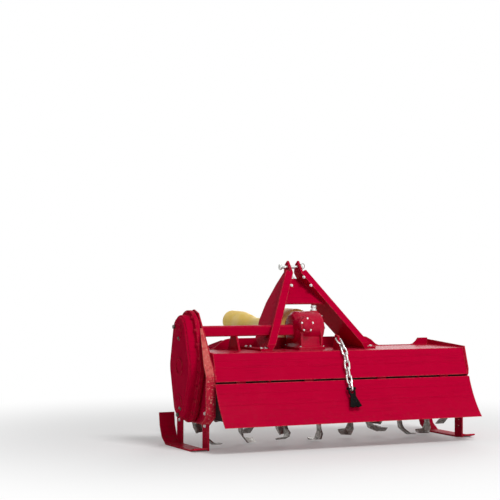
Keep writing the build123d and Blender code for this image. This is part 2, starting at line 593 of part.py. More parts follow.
BLADES = {"left": blade(-1), "right": blade(1)}
with BuildPart() as bladed_rotor:
    disc_x(-ROTOR_HALF, ROTOR_HALF, 0, 0, ROTOR_TUBE_RADIUS, TUBE_SIDES)
    for x in FLANGE_X:
        disc_x(x - FLANGE_THICK / 2, x + FLANGE_THICK / 2, 0, 0, FLANGE_RADIUS, FLANGE_SIDES)
    for index, x in enumerate(FLANGE_X):
        for k in range(BLADES_PER_FLANGE):
            turned = "right" if k % 2 == 0 else "left"
            if index == 0:
                turned = "right"
            if index == len(FLANGE_X) - 1:
                turned = "left"
            angle = 360 / BLADES_PER_FLANGE * k + FLANGE_TWIST * index
            add(Pos(x, 0, 0) * Rot(angle, 0, 0) * BLADES[turned])

STUB_END = 12.0             # how far a stub reaches past the end plate
with BuildPart() as rotor_stubs:
    disc_x(-HOOD_HALF - STUB_END, -ROTOR_HALF, 0, 0, STUB_RADIUS)
    disc_x(ROTOR_HALF, HOOD_HALF + STUB_END, 0, 0, STUB_RADIUS)

# ---- driveshaft: two universal joints and the tube between them, inside a plastic guard ----
SHAFT_END_Y = 206.0
with BuildPart() as input_shaft:
    disc_y(112, SHAFT_END_Y, MAST_X, DRIVE_Z, SHAFT_RADIUS)

YOKE_RADIUS, CROSS_RADIUS = 27.0, 8.0
SHAFT_TUBE_RADIUS = 20.0
EAR_IN, EAR_OUT, EAR_WIDE = 17.0, 29.0, 15.0


def yoke(y_cross, y_hub, upright):
    """The two ears of a yoke, from its hub to just past the cross, upright or level."""
    past = y_cross + math.copysign(EAR_WIDE, y_cross - y_hub)
    low, high = min(past, y_hub), max(past, y_hub)
    for side in (-1, 1):
        near, far = sorted((side * EAR_IN, side * EAR_OUT))
        if upright:
            block(MAST_X - EAR_WIDE, MAST_X + EAR_WIDE, low, high, DRIVE_Z + near, DRIVE_Z + far)
        else:
            block(MAST_X + near, MAST_X + far, low, high, DRIVE_Z - EAR_WIDE, DRIVE_Z + EAR_WIDE)


def universal_joint(y_cross, reach):
    """A cross with a yoke on each side, the outer one level and the inner one upright."""
    disc_x(MAST_X - EAR_OUT, MAST_X + EAR_OUT, y_cross, DRIVE_Z, CROSS_RADIUS, 8)
    disc_z(DRIVE_Z - EAR_OUT, DRIVE_Z + EAR_OUT, MAST_X, y_cross, CROSS_RADIUS, 8)
    yoke(y_cross, y_cross + reach, False)
    yoke(y_cross, y_cross - reach, True)


INNER_CROSS_Y, OUTER_CROSS_Y = 262.0, 935.0
HUB_GAP = 24.0              # from a cross to the face of a hub
HUB_LONG = 22.0
HUB_SIDES = 16
HUBS = [                    # y from, y to, radius
    (SHAFT_END_Y, INNER_CROSS_Y - HUB_GAP, YOKE_RADIUS + 4),
    (INNER_CROSS_Y + HUB_GAP, INNER_CROSS_Y + HUB_GAP + HUB_LONG, YOKE_RADIUS - 3),
    (INNER_CROSS_Y + HUB_GAP + HUB_LONG, OUTER_CROSS_Y - HUB_GAP - HUB_LONG, SHAFT_TUBE_RADIUS),
    (OUTER_CROSS_Y - HUB_GAP - HUB_LONG, OUTER_CROSS_Y - HUB_GAP, YOKE_RADIUS - 3),
    (OUTER_CROSS_Y + HUB_GAP, FRONT_Y, YOKE_RADIUS),
    (FRONT_Y - 30, FRONT_Y - 12, YOKE_RADIUS + 8),
]
with BuildPart() as driveshaft:
    for y_from, y_to, radius in HUBS:
        disc_y(y_from, y_to, MAST_X, DRIVE_Z, radius, HUB_SIDES)
    universal_joint(INNER_CROSS_Y, -HUB_GAP)
    universal_joint(OUTER_CROSS_Y, HUB_GAP)
    disc_y(FRONT_Y - 40, FRONT_Y, MAST_X, DRIVE_Z, SHAFT_RADIUS, mode=Mode.SUBTRACT)

GUARD_WALL = 3.0
GUARD_OUTSIDE = [           # radius, y, from the implement's bell to the tractor's
    (62, 285), (62, 350), (52, 400), (30, 440), (30, 660), (44, 740), (60, 840), (62, 985),
]
GUARD_SIDES = 24
with BuildPart() as driveshaft_guard:
    inside = [(radius - GUARD_WALL, y) for radius, y in GUARD_OUTSIDE]
    add(faceted_turning(MAST_X, DRIVE_Z, GUARD_SIDES, GUARD_OUTSIDE + inside[::-1]))

# bracket that holds the driveshaft's guard up when the machine stands alone
REST_HALF, REST_THICK, REST_Y = 15.0, 8.0, 520.0
REST_OUTLINE = [            # x from the mast centre, z
    (-REST_HALF, DECK_Z), (REST_HALF, DECK_Z), (REST_HALF, 318), (38, 344), (38, 376), (-38, 376),
    (-38, 344), (-REST_HALF, 318),
]
with BuildPart() as driveshaft_rest:
    block(MAST_X - REST_HALF, MAST_X + REST_HALF, DECK_FRONT_Y, REST_Y, DECK_Z, DECK_Z + REST_THICK)
    xz_slab(REST_Y - REST_THICK, REST_Y, [(MAST_X + x, z) for x, z in REST_OUTLINE])
    round_slab(Plane.XZ.offset(REST_THICK - REST_Y), -REST_THICK,
               [(MAST_X, DRIVE_Z, 30), (MAST_X, DRIVE_Z + 40, 30)], mode=Mode.SUBTRACT)

PIECES = {
    "hood_shell": hood_shell,
    "end_plate_left": end_plate_left,
    "end_plate_right": end_plate_right,
    "front_beam": front_beam,
    "cross_tube": cross_tube,
    "tube_brackets": tube_brackets,
    "gearbox_housing": gearbox_housing,
    "gearbox_rear_cover": gearbox_rear_cover,
    "filler_plug": filler_plug,
    "input_guard": input_guard,
    "mast_arm_left": mast_arm_left,
    "mast_arm_right": mast_arm_right,
    "mast_cross_plate": mast_cross_plate,
    "top_link_pin": top_link_pin,
    "hitch_clevis_left": hitch_clevis_left,
    "hitch_clevis_right": hitch_clevis_right,
    "lower_link_pins": lower_link_pins,
    "side_case_body": side_case_body,
    "side_case_cover": side_case_cover,
    "case_plugs": case_plugs,
    "bearing_housing_right": bearing_housing_right,
    "skid_left": skid_left,
    "skid_right": skid_right,
    "tailboard": tailboard,
    "hinge_rod": hinge_rod,
    "tailboard_chain": tailboard_chain,
    "chain_lug": chain_lug,
    "chain_hook": chain_hook,
    "bladed_rotor": bladed_rotor,
    "rotor_stubs": rotor_stubs,
    "input_shaft": input_shaft,
    "driveshaft": driveshaft,
    "driveshaft_guard": driveshaft_guard,
    "driveshaft_rest": driveshaft_rest,
}
for name, piece in PIECES.items():
    save(name, piece)
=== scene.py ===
import json
import math

import bpy
import numpy as np
from bpy.props import FloatProperty, FloatVectorProperty, IntProperty, PointerProperty
from mathutils import Matrix, Vector


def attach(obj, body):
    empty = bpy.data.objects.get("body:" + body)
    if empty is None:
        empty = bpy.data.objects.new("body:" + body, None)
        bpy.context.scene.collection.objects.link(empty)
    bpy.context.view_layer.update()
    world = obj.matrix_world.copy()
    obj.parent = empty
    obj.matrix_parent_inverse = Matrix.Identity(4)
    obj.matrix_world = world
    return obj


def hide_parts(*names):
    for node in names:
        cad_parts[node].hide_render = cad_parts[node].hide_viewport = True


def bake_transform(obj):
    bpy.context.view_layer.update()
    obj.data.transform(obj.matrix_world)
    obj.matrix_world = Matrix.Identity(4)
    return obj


bl_info = {
    "name": "Rotavator",
    "version": (1, 0, 0),
    "blender": (4, 5, 0),
    "location": "View3D > Sidebar > Rotavator",
    "description": "Dresses the frame of a tractor-mounted rotavator with cast, forged and painted parts",
    "category": "Object",
}

# The frame is loaded first, because sizes and places are read from it.
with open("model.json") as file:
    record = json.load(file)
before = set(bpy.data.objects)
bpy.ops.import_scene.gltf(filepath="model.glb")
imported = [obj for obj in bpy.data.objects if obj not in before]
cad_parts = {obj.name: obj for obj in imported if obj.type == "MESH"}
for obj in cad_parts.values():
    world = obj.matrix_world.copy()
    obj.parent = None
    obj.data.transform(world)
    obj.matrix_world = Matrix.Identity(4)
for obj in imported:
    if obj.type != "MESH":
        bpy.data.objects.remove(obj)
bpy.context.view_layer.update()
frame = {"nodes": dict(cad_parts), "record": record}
JOINTS = {joint["name"]: np.array(joint["pos_m"]) for joint in frame["record"]["behaviour"]["joints"]}

# Everything below is drawn in millimetres about the middle of the rotor's axis, with X to the
# right seen from behind, Y forward to the tractor and Z up, and is moved to the frame by placed().
MM = 0.001
ROTOR = JOINTS["rotor_spin"]
MAST_X, DRIVE_Z = ((JOINTS["driveline_spin"] - ROTOR) / MM)[[0, 2]]
DRIVE_LINE = (MAST_X, 0, DRIVE_Z)

INSIDE_HALF = 742.0                   # inner faces of the end plates
TUBE_Z = 362.0                        # middle of the cross tube
PIN_OUT = 363.0                       # the lower link clevises, either side of the mast
FLANGE_X = (-700, -466, -233, 0, 233, 466, 700)     # the rotor's flanges
GEARBOX_X, FILLER_X = -106.0, -53.0
COVER_X, COVER_Z = -148.0, 392.0      # the gearbox's rear cover
CASE_FACE = 833.0                     # how far left the side case's face stands
CASE_ROUNDS = [(0, 360, 88), (-8, 186, 136), (0, 0, 79)]    # its outline's rounds: y, z, radius
TAIL_Y, TAIL_Z, TAIL_RADIUS = -811.3, 284.3, 560.0  # the circle that the tailboard is bent to

X_AXIS, Y_AXIS, Z_AXIS = np.eye(3)
TO_LEFT = np.array([[0, 0, -1], [-1, 0, 0], [0, 1, 0]])     # drawn x, y, z go to -z, -x, y
WHITE = (1, 1, 1, 1)


def arm_out(z):
    """How far an arm of the mast stands out from the mast's middle at a height."""
    return 31 + 0.62 * (665 - z)


def tail_y(z, proud=0.0):
    """Where the tailboard's rear face stands at a height: y = c + sqrt((r - proud)^2 - (z - d)^2)."""
    return TAIL_Y + np.sqrt((TAIL_RADIUS - proud) ** 2 - (np.asarray(z, float) - TAIL_Z) ** 2)


# ---- colours ----
def linear(colour):
    """Linear red, green, blue and a full alpha, from an sRGB hex value or a setting, already linear."""
    if isinstance(colour, str):
        parts = [int(colour[i:i + 2], 16) / 255 for i in (1, 3, 5)]
        colour = [p / 12.92 if p <= 0.04045 else ((p + 0.055) / 1.055) ** 2.4 for p in parts]
    return [*colour, 1.0]


# ---- surfaces worked out with numpy; a shape is its points and a list of face arrays ----
def unit(vectors):
    """Vectors made one long."""
    vectors = np.asarray(vectors, float)
    return vectors / np.linalg.norm(vectors, axis=-1, keepdims=True)


def angles(count):
    """Angles spread evenly round a circle, in radians."""
    return np.arange(count) * 2 * math.pi / count


def run_along(path):
    """How far along a path each of its points lies."""
    return np.concatenate([[0], np.cumsum(np.linalg.norm(np.diff(path, axis=0), axis=1))])


def skin(points, looped=False):
    """Quads over rings of points P(u, v), each closed in v; the last ring joins the first if looped.

    Otherwise caps close both ends, and all faces are outwards when v runs by the right-hand rule
    about the direction of u.
    """
    rows, columns = points.shape[:2]
    index = np.arange(rows * columns).reshape(rows, columns)
    u_next = np.roll(index, -1, axis=0)
    quads = np.stack([index, np.roll(index, -1, axis=1), np.roll(u_next, -1, axis=1), u_next], axis=-1)
    if looped:
        faces = [quads.reshape(-1, 4)]
    else:
        faces = [quads[:-1].reshape(-1, 4), index[0][::-1][None], index[-1][None]]
    return points.reshape(-1, 3), faces


def joined(*shapes):
    """Several shapes as one, each one's faces counted on from the points before it."""
    points, faces, count = [], [], 0
    for vertices, polygons in shapes:
        points.append(vertices)
        faces += [polygon + count for polygon in polygons]
        count += len(vertices)
    return np.concatenate(points), faces


def moved(shape, offset=(0, 0, 0), turn=np.eye(3)):
    """A shape turned by a 3 x 3 matrix and then moved: P' = turn P + offset."""
    points, faces = shape
    return points @ np.asarray(turn, float).T + np.asarray(offset, float), faces


def copies(shape, offsets, turns):
    """One shape at many places: P'(k) = turn(k) P + offset(k), all worked out at once."""
    points, faces = shape
    offsets = np.asarray(offsets, float)
    turns = np.broadcast_to(np.asarray(turns, float), (len(offsets), 3, 3))
    many = np.einsum("kij,nj->kni", turns, points) + offsets[:, None]
    shift = np.arange(len(offsets)) * len(points)
    return many.reshape(-1, 3), [
        (face[None] + shift[:, None, None]).reshape(-1, face.shape[1]) for face in faces
    ]


def aim(axis, roll=0.0):
    """The turn that takes local Z to an axis, after a roll about Z in radians."""
    z = unit(axis)
    x = unit(np.cross(Y_AXIS if abs(z[1]) < 0.9 else X_AXIS, z))
    c, s = math.cos(roll), math.sin(roll)
    return np.column_stack([x, np.cross(z, x), z]) @ np.array([[c, -s, 0], [s, c, 0], [0, 0, 1]])


def turn_x(angle):
    """The turn about X by an angle in radians."""
    c, s = math.cos(angle), math.sin(angle)
    return np.array([[1, 0, 0], [0, c, -s], [0, s, c]])


def turned(profile, sides=48, hollow=False):
    """A turning about Z: P = (r cos v, r sin v, h) for each (r, h) of the profile, outside upwards.

    A hollow one's profile is a closed loop, up the outer wall and down the inner one.
    """
    profile = np.asarray(profile, float)
    v = angles(sides)
    radius, height = profile[:, :1], np.repeat(profile[:, 1:2], sides, axis=1)
    points = np.stack([radius * np.cos(v), radius * np.sin(v), height], axis=-1)
    return skin(points, hollow)


def lofted(levels, steps=5):
    """A rounded box about Z: P = (+-(a - r) + r cos v, +-(b - r) + r sin v, h), signs by quarter.

    Each level is (half size in X a, half size in Y b, corner radius r, height h), from below up.
    """
    levels = np.asarray(levels, float)[:, :, None]
    quarter = np.repeat(np.arange(4), steps)
    v = (quarter + np.tile(np.linspace(0, 1, steps), 4)) * math.pi / 2
    sign_x = np.where((quarter == 0) | (quarter == 3), 1, -1)
    sign_y = np.where(quarter < 2, 1, -1)
    a, b, r, h = levels[:, 0], levels[:, 1], levels[:, 2], levels[:, 3]
    points = [sign_x * (a - r) + r * np.cos(v), sign_y * (b - r) + r * np.sin(v), np.repeat(h, len(v), 1)]
    return skin(np.stack(points, axis=-1))


def inset(outline, amount):
    """A closed outline, anticlockwise, moved inwards along the mitre of each corner."""
    outline = np.asarray(outline, float)
    edge = np.roll(outline, -1, axis=0) - outline
    normal = unit(np.column_stack([-edge[:, 1], edge[:, 0]]))
    mitre = normal + np.roll(normal, 1, axis=0)
    return outline + mitre * (2 * amount / (mitre ** 2).sum(axis=1))[:, None]


def plate(outline, thick, edge):
    """A flat plate about z = 0: P = (outline drawn in by the edge's round, h), seen from above."""
    arc = np.linspace(0, math.pi / 2, 4)
    drawn = edge * (1 - np.cos(arc))
    drawn = np.concatenate([drawn[::-1], drawn])
    height = thick / 2 - edge * (1 - np.sin(arc))
    height = np.concatenate([-height[::-1], height])
    rings = [np.insert(inset(outline, d), 2, h, axis=1) for d, h in zip(drawn, height)]
    return skin(np.stack(rings))


def circle(count, radius, centre, start=0.0, across=Y_AXIS):
    """Places round an upright circle: P = c + r (cos v A + sin v Z), from v = start radians on."""
    v = start + angles(count)[:, None]
    return np.asarray(centre, float) + radius * (np.cos(v) * across + np.sin(v) * Z_AXIS)


def hull_outline(circles, grow):
    """The outline round some circles: P = c + (r + g) n(v), c and r of the circle reaching furthest."""
    circles = np.asarray(circles, float)
    v = angles(144)
    normal = np.column_stack([np.cos(v), np.sin(v)])
    furthest = (normal @ circles[:, :2].T + circles[:, 2]).argmax(axis=1)
    return circles[furthest, :2] + (circles[furthest, 2:] + grow) * normal


def spaced(outline, count, start=0.0):
    """Points at equal distances round a closed outline."""
    closed = np.vstack([outline, outline[:1]])
    run = run_along(closed)
    at = (np.arange(count) + start) / count * run[-1]
    return np.column_stack([np.interp(at, run, closed[:, k]) for k in range(2)])


def bead(start, end, radius, ripple=7.0):
    """A weld bead between two points: a round bar whose radius swells once for every ripple laid."""
    start, end = np.asarray(start, float), np.asarray(end, float)
    length = np.linalg.norm(end - start)
    s = np.linspace(0, length, max(4, int(length / ripple * 3)))
    swell = radius * (1 + 0.12 * np.sin(2 * math.pi * s / ripple + 1.3 * np.sin(s / 31)))
    swell[[0, -1]] *= 0.5
    tangent = (end - start) / length
    normal = np.cross(tangent, X_AXIS if abs(tangent[0]) < 0.9 else Z_AXIS)
    return tube(start + s[:, None] * tangent, normal, swell, sides=7)


def bolts(places, axis, size):
    """Bolts on a face: six-sided, chamfered heads on washers, each turned differently about the axis."""
    washer = turned(size * np.array([(1.05, 0), (1.05, 0.14), (1, 0.2)]), 16)
    head = turned(size * np.array([(0.86, 0.2), (0.86, 0.62), (0.72, 0.75)]), 6)
    rolls = [aim(axis, 0.7 * k) for k in range(len(places))]
    return copies(joined(washer, head), places, rolls)


def rounded(corners, radii, steps):
    """A polyline with its inner corners replaced by quadratic arcs that start a radius before them."""
    corners = np.asarray(corners, float)
    t = np.linspace(0, 1, steps)[:, None]
    path = [corners[:1]]
    for before, corner, after, r in zip(corners, corners[1:], corners[2:], radii[1:]):
        start = corner + (before - corner) * min(0.49, r / np.linalg.norm(before - corner))
        end = corner + (after - corner) * min(0.49, r / np.linalg.norm(after - corner))
        path.append((1 - t) ** 2 * start + 2 * t * (1 - t) * corner + t ** 2 * end)
    path.append(corners[-1:])
    return np.concatenate(path)


def tube(path, normal, radius, sides=12, closed=False):
    """A round bar along a flat path: P = C(u) + r (cos v S(u) + sin v N), N the path's plane normal."""
    path = np.asarray(path, float)
    normal = unit(normal)
    ahead = np.roll(path, -1, axis=0) - np.roll(path, 1, axis=0) if closed else np.gradient(path, axis=0)
    side = np.cross(normal, unit(ahead))
    v = angles(sides)
    radius = np.broadcast_to(radius, len(path))[:, None, None]
    ring = np.cos(v)[None, :, None] * side[:, None] + np.sin(v)[None, :, None] * normal
    return skin(path[:, None] + radius * ring, closed)


def placed(name, shape, finish_name, body="frame", smooth=35.0):
    """Make the piece: millimetres about the rotor become metres in the frame.

    It wears a finish, and rides a body unless that is None.
    """
    points, faces = shape
    points = np.asarray(points, float) * MM + ROTOR
    mesh = bpy.data.meshes.new(name)
    mesh.vertices.add(len(points))
    mesh.vertices.foreach_set("co", points.ravel())
    totals = np.concatenate([np.full(len(face), face.shape[1]) for face in faces])
    corners = np.concatenate([face.ravel() for face in faces])
    mesh.loops.add(len(corners))
    mesh.loops.foreach_set("vertex_index", corners.astype(np.int32))
    mesh.polygons.add(len(totals))
    starts = np.concatenate([[0], np.cumsum(totals)[:-1]])
    mesh.polygons.foreach_set("loop_start", starts.astype(np.int32))
    mesh.polygons.foreach_set("loop_total", totals.astype(np.int32))
    mesh.update(calc_edges=True)
    mesh.validate()
    mesh.shade_smooth()
    mesh.set_sharp_from_angle(angle=math.radians(smooth))
    mesh.materials.append(finish(finish_name))
    piece = bpy.data.objects.new(name, mesh)
    bpy.context.scene.collection.objects.link(piece)
    if body:
        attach(piece, body)
    return piece


# ---- materials ----
def feed(node, inputs):
    """Set or link a node's inputs; a node given for one stands for its own first output."""
    for key, value in inputs.items():
        if isinstance(value, bpy.types.Node):
            value = value.outputs[0]
        if isinstance(value, bpy.types.NodeSocket):
            node.id_data.links.new(value, node.inputs[key])
        else:
            node.inputs[key].default_value = value


def add(tree, kind, inputs=(), **settings):
    """Add a shader node with its settings, and set or link its inputs."""
    node = tree.nodes.new("ShaderNode" + kind)
    for key, value in settings.items():
        setattr(node, key, value)
    feed(node, dict(inputs))
    return node


def new_material(name, fill, **settings):
    """A material with a Principled shader, filled by a function of its tree and object coordinates."""
    material = bpy.data.materials.new(name)
    material.use_nodes = True
    tree = material.node_tree
    tree.nodes.clear()
    shader = add(tree, "BsdfPrincipled")
    add(tree, "OutputMaterial", {"Surface": shader})
    fill(tree, shader, add(tree, "TexCoord").outputs["Object"], **settings)
    return material


def patches(place, size_mm, low=0.3, high=0.7, detail=4.0, to_low=0.0, to_high=1.0):
    """Cloudy patches about size_mm across: the cloud's range low..high is spread to to_low..to_high."""
    tree = place.id_data
    cloud = add(tree, "TexNoise", {
        "Vector": place, "Scale": 1 / (size_mm * MM), "Detail": detail})
    return add(tree, "MapRange", {
        "Value": cloud, "From Min": low, "From Max": high, "To Min": to_low, "To Max": to_high,
    })


def rubbed_edges(place, radius_mm, most):
    """Where edges are rubbed: how far the rounded normal turns from the flat one, broken by patches."""
    tree = place.id_data
    flat = add(tree, "NewGeometry").outputs["Normal"]
    soft = add(tree, "Bevel", {"Radius": radius_mm * MM}, samples=4)
    along = add(tree, "VectorMath", {0: flat, 1: soft}, operation="DOT_PRODUCT").outputs["Value"]
    turn = add(tree, "MapRange", {
        "Value": along, "From Min": 0.995, "From Max": 0.86, "To Max": most,
    })
    return patches(place, 14, 0.36, 0.6, to_high=turn)


def by_z(vector, start, end, least, most):
    """A share that runs from least to most as a vector's Z runs from start to end."""
    z = add(vector.id_data, "SeparateXYZ", {0: vector}).outputs[2]
    return add(vector.id_data, "MapRange", {
        "Value": z, "From Min": start, "From Max": end, "To Min": least, "To Max": most})


def coated(tree, colour, rough, coats):
    """Lay coats over a finish one after another; each covers colour and roughness by its own share."""
    for share, over, over_rough in coats:
        under, over = (c if isinstance(c, bpy.types.NodeSocket) else linear(c) for c in (colour, over))
        colour = add(tree, "Mix", {0: share, 6: under, 7: over}, data_type="RGBA").outputs[2]
        rough = add(tree, "Mix", {0: share, 2: rough, 3: over_rough})
    return colour, rough


def skinned(shader, finish_pair, height, depth_mm, strength, soft_mm=0.0):
    """Give the shader its colour and roughness, and a skin as deep as depth_mm on softened edges."""
    inputs = {"Strength": strength, "Distance": depth_mm * MM, "Height": height}
    tree = shader.id_data
    if soft_mm:
        inputs["Normal"] = add(tree, "Bevel", {"Radius": soft_mm * MM}, samples=4)
    bump = add(tree, "Bump", inputs)
    feed(shader, dict(zip(("Base Color", "Roughness", "Normal"), (*finish_pair, bump))))


def enamel(tree, shader, place, wear, grain_mm, grain, gloss, level, soil=0.35):
    """Red enamel sprayed on steel or iron; the callers say what lies under it."""
    looks = bpy.context.scene.rotavator_looks
    feed(shader, {"IOR": 1.45, "Specular IOR Level": level})
    drawn_out = add(tree, "Mapping", {"Vector": place, "Scale": (0.06, 1.0, 1.0)})
    gloss = patches(place, 45, to_low=gloss, to_high=gloss + 0.12)
    bleached = patches(place, 160, 0.5, 0.8, to_high=0.25)
    normal = add(tree, "NewGeometry").outputs["Normal"]
    # dust and painted sheen: faces that look up are made lighter and pinker in patches
    film = patches(place, 34, 0.4, 0.85, 8, to_high=by_z(normal, 0.8, 1.0, 0.0, looks.dust_and_sheen_share))
    splash = patches(place, 22, 0.5, 0.68, 8, to_high=by_z(place, 0.26, 0.0, 0.0, soil))
    pair = coated(tree, looks.enamel, gloss, (
        (bleached, looks.faded, 0.4),        # bleached by the sun, a hand across
        (patches(drawn_out, 9, 0.5, 0.72, 5, to_high=0.3), looks.streak, 0.35),
        (film, looks.dust, 0.75),            # a thin film of dust on the decks, with painted sheen: faces that look up come out lighter and pinker
        (splash, looks.soil, 0.9),           # soil splashed up from the ground
        (rubbed_edges(place, 5, wear), looks.rubbed, 0.6),
    ))
    skinned(shader, pair, patches(place, grain_mm, detail=3), 1.2, grain, 1.5)


def weathered_enamel(tree, shader, place):
    """Red enamel on a folded steel flange, weathered through to orange primer in mottled runs.

    The primer shows most high up, where rain and hands wear it, and small pale chips lie lower down.
    """
    looks = bpy.context.scene.rotavator_looks
    feed(shader, {"Specular IOR Level": 0.03})
    gloss = patches(place, 45, to_low=0.35, to_high=0.5)
    worn = patches(place, 26, 0.3, 0.5, 6, to_high=by_z(place, 0.35, 0.4, 0.14, 0.95))
    # darker red patches, denser towards the bottom
    dark = patches(place, 12, 0.54, 0.64, 6, to_high=by_z(place, 0.46, 0.37, 0.1, 0.8))
    chips = patches(place, 9, 0.6, 0.66, 3, to_high=0.85)
    pair = coated(tree, looks.enamel, gloss, (
        (worn, looks.rubbed, 0.6), (dark, "#8f1f2e", 0.7), (chips, "#d99a8c", 0.7),
        (rubbed_edges(place, 5, 0.9), "#d8806f", 0.6),
    ))
    skinned(shader, pair, patches(place, 7, detail=3), 1.2, 0.3, 1.5)


def rotor_paint(tree, shader, place):
    """Forged spring steel blades on a painted tube.

    Soil has scoured the paint off towards the tips, which shine, and dry earth clings to the shanks
    and the tube.
    """
    looks = bpy.context.scene.rotavator_looks
    arm = add(tree, "VectorMath", {0: place, 1: tuple(ROTOR)}, operation="SUBTRACT")
    arm = add(tree, "VectorMath", {0: arm, 1: (0, 1, 1)}, operation="MULTIPLY")
    reach = add(tree, "VectorMath", {0: arm}, operation="LENGTH").outputs["Value"]
    ragged = patches(place, 30, to_low=-0.03, to_high=0.03)
    reach = add(tree, "Math", {0: reach, 1: ragged})
    scoured = add(tree, "MapRange", {"Value": reach, "From Min": 0.10, "From Max": 0.15})
    clinging = add(tree, "MapRange", {
        "Value": reach, "From Min": 0.20, "From Max": 0.11, "To Min": 0.2, "To Max": 0.8,
    })
    earth = patches(place, 26, 0.46, 0.6, 8, to_high=clinging)
    bleached = patches(place, 90, 0.4, 0.7, to_high=0.4)
    polished = patches(place, 8, to_low=0.28, to_high=0.45)
    steel, polish = coated(tree, "#a3a19d", polished, ((patches(place, 12, 0.4, 0.7), "#6e675f", 0.5),))
    pair = coated(tree, looks.enamel, 0.4, (
        (bleached, looks.faded, 0.45), (scoured, steel, polish), (earth, looks.soil, 0.95),
    ))
    bare = add(tree, "Math", {0: 1.0, 1: earth}, operation="SUBTRACT")
    metal = add(tree, "Math", {0: scoured, 1: bare}, operation="MULTIPLY")
    feed(shader, {"Metallic": metal})
    skinned(shader, pair, patches(place, 5, detail=6), 2.0, 0.5)


def zinc_plating(tree, shader, place, bright, dull, gloss):
    """Zinc-plated steel: grey with a slight spangle, dulled to a chalky bloom, with grime in spots."""
    feed(shader, {"Metallic": 1.0})
    pair = coated(tree, bright, gloss, (
        (patches(place, 18, 0.42, 0.66), dull, gloss + 0.2),
        (patches(place, 9, 0.58, 0.78, 6, to_high=0.6), "#5f5448", 0.8),
    ))
    skinned(shader, pair, patches(place, 2), 0.4, 0.2)


def polyethylene(tree, shader, place):
    """Blow-moulded yellow polyethylene: waxy and satin, with broad pale patches of painted highlight and a
    painted brown shade on the faces that look down.
    """
    looks = bpy.context.scene.rotavator_looks
    feed(shader, {
        "IOR": 1.51, "Subsurface Weight": 0.08, "Subsurface Radius": (0.01, 0.006, 0.002)})
    satin = patches(place, 30, to_low=0.38, to_high=0.55)
    normal = add(tree, "NewGeometry").outputs["Normal"]
    pair = coated(tree, looks.plastic, satin, (
        # painted highlight: broad pale cream patches over the yellow
        (patches(place, 70, 0.4, 0.7, to_high=0.4), "#ffe9b4", 0.5),
        (patches(place, 24, 0.6, 0.78, 8, to_high=0.35), "#b48a45", 0.7),
        # painted shade: faces that look down are darkened to a deep brown
        (by_z(normal, -0.2, -1.0, 0.0, 0.55), "#8f6a2c", 0.6),
    ))
    skinned(shader, pair, patches(place, 4), 0.6, 0.25)


def turned_steel(tree, shader, place):
    """Turned steel shafts under a brown film of oil and light rust."""
    feed(shader, {"Metallic": 1.0})
    pair = coated(tree, "#a9a7a2", 0.25, ((patches(place, 28, 0.42, 0.66, 6), "#6a5646", 0.55),))
    # tool marks a millimetre and a half apart round the shaft, coarser than real ones so that they show
    marks = add(tree, "TexWave", {"Vector": place, "Scale": 200.0, "Distortion": 0.4},
                bands_direction="Y")
    skinned(shader, pair, marks.outputs[1], 0.3, 0.12)


def black_paint(tree, shader, place):
    """Black chassis paint on a forging, scuffed grey along its edges."""
    feed(shader, {"Specular IOR Level": 0.05})
    satin = patches(place, 16, to_low=0.42, to_high=0.6)
    pair = coated(tree, "#080707", satin, (
        (patches(place, 20, 0.45, 0.7, to_high=0.5), "#1a1110", 0.6),
        (rubbed_edges(place, 2, 0.35), "#5c5650", 0.5),
    ))
    skinned(shader, pair, patches(place, 3), 0.6, 0.3)


def rubber(tree, shader, place):
    """Black rubber belting: matt, with a fine woven skin and dry reddish dust in its hollows; the same
    black stands as painted shade in the strip behind the tailboard's hinge.
    """
    feed(shader, {"Specular IOR Level": 0.2})
    pair = coated(tree, "#141010", 0.8, ((patches(place, 40, 0.4, 0.7, 6, to_high=0.7), "#341a1a", 0.9),))
    skinned(shader, pair, patches(place, 3), 0.6, 0.4)


def seen_or_mirrored(tree):
    """One for what the camera sees, straight, mirrored or through glass, and nothing for light."""
    path = add(tree, "LightPath").outputs
    seen = path["Is Camera Ray"]
    for ray in ("Is Glossy Ray", "Is Transmission Ray"):
        seen = add(tree, "Math", {0: seen, 1: path[ray]}, operation="MAXIMUM")
    return seen


def stage_floor(tree, shader, place):
    """Pale matt studio floor: it takes the shadow near the object and fades to plain white far off."""
    feed(shader, {"Roughness": 0.9, "Base Color": linear("#f4f4f4")})
    far = add(tree, "VectorMath", {0: place}, operation="LENGTH").outputs["Value"]
    far = add(tree, "MapRange", {
        "Value": far, "From Min": 0.8, "From Max": 2.8, "To Min": 0.15,
    }, interpolation_type="SMOOTHSTEP")
    far = add(tree, "Math", {0: far, 1: seen_or_mirrored(tree)}, operation="MULTIPLY")
    white = add(tree, "Emission", {"Color": WHITE, "Strength": 1.0})
    mixed = add(tree, "MixShader", {0: far, 1: shader, 2: white})
    feed(tree.nodes["Material Output"], {"Surface": mixed})


# ---- settings ----
def colour_property(name, description, hex_colour):
    """A colour setting whose default is an sRGB hex value."""
    return FloatVectorProperty(name=name, description=description, default=linear(hex_colour)[:3],
                               subtype="COLOR", size=3, min=0.0, max=1.0)


def length_property(name, description, millimetres):
    """A length setting, kept in metres; its default is given in millimetres."""
    return FloatProperty(name=name, description=description, default=millimetres * MM, min=0.1 * MM,
                         subtype="DISTANCE", unit="LENGTH")


def power_property(name, description, watts):
    """The power of a lamp."""
    return FloatProperty(name=name, description=description, default=watts, min=0.0, unit="POWER")


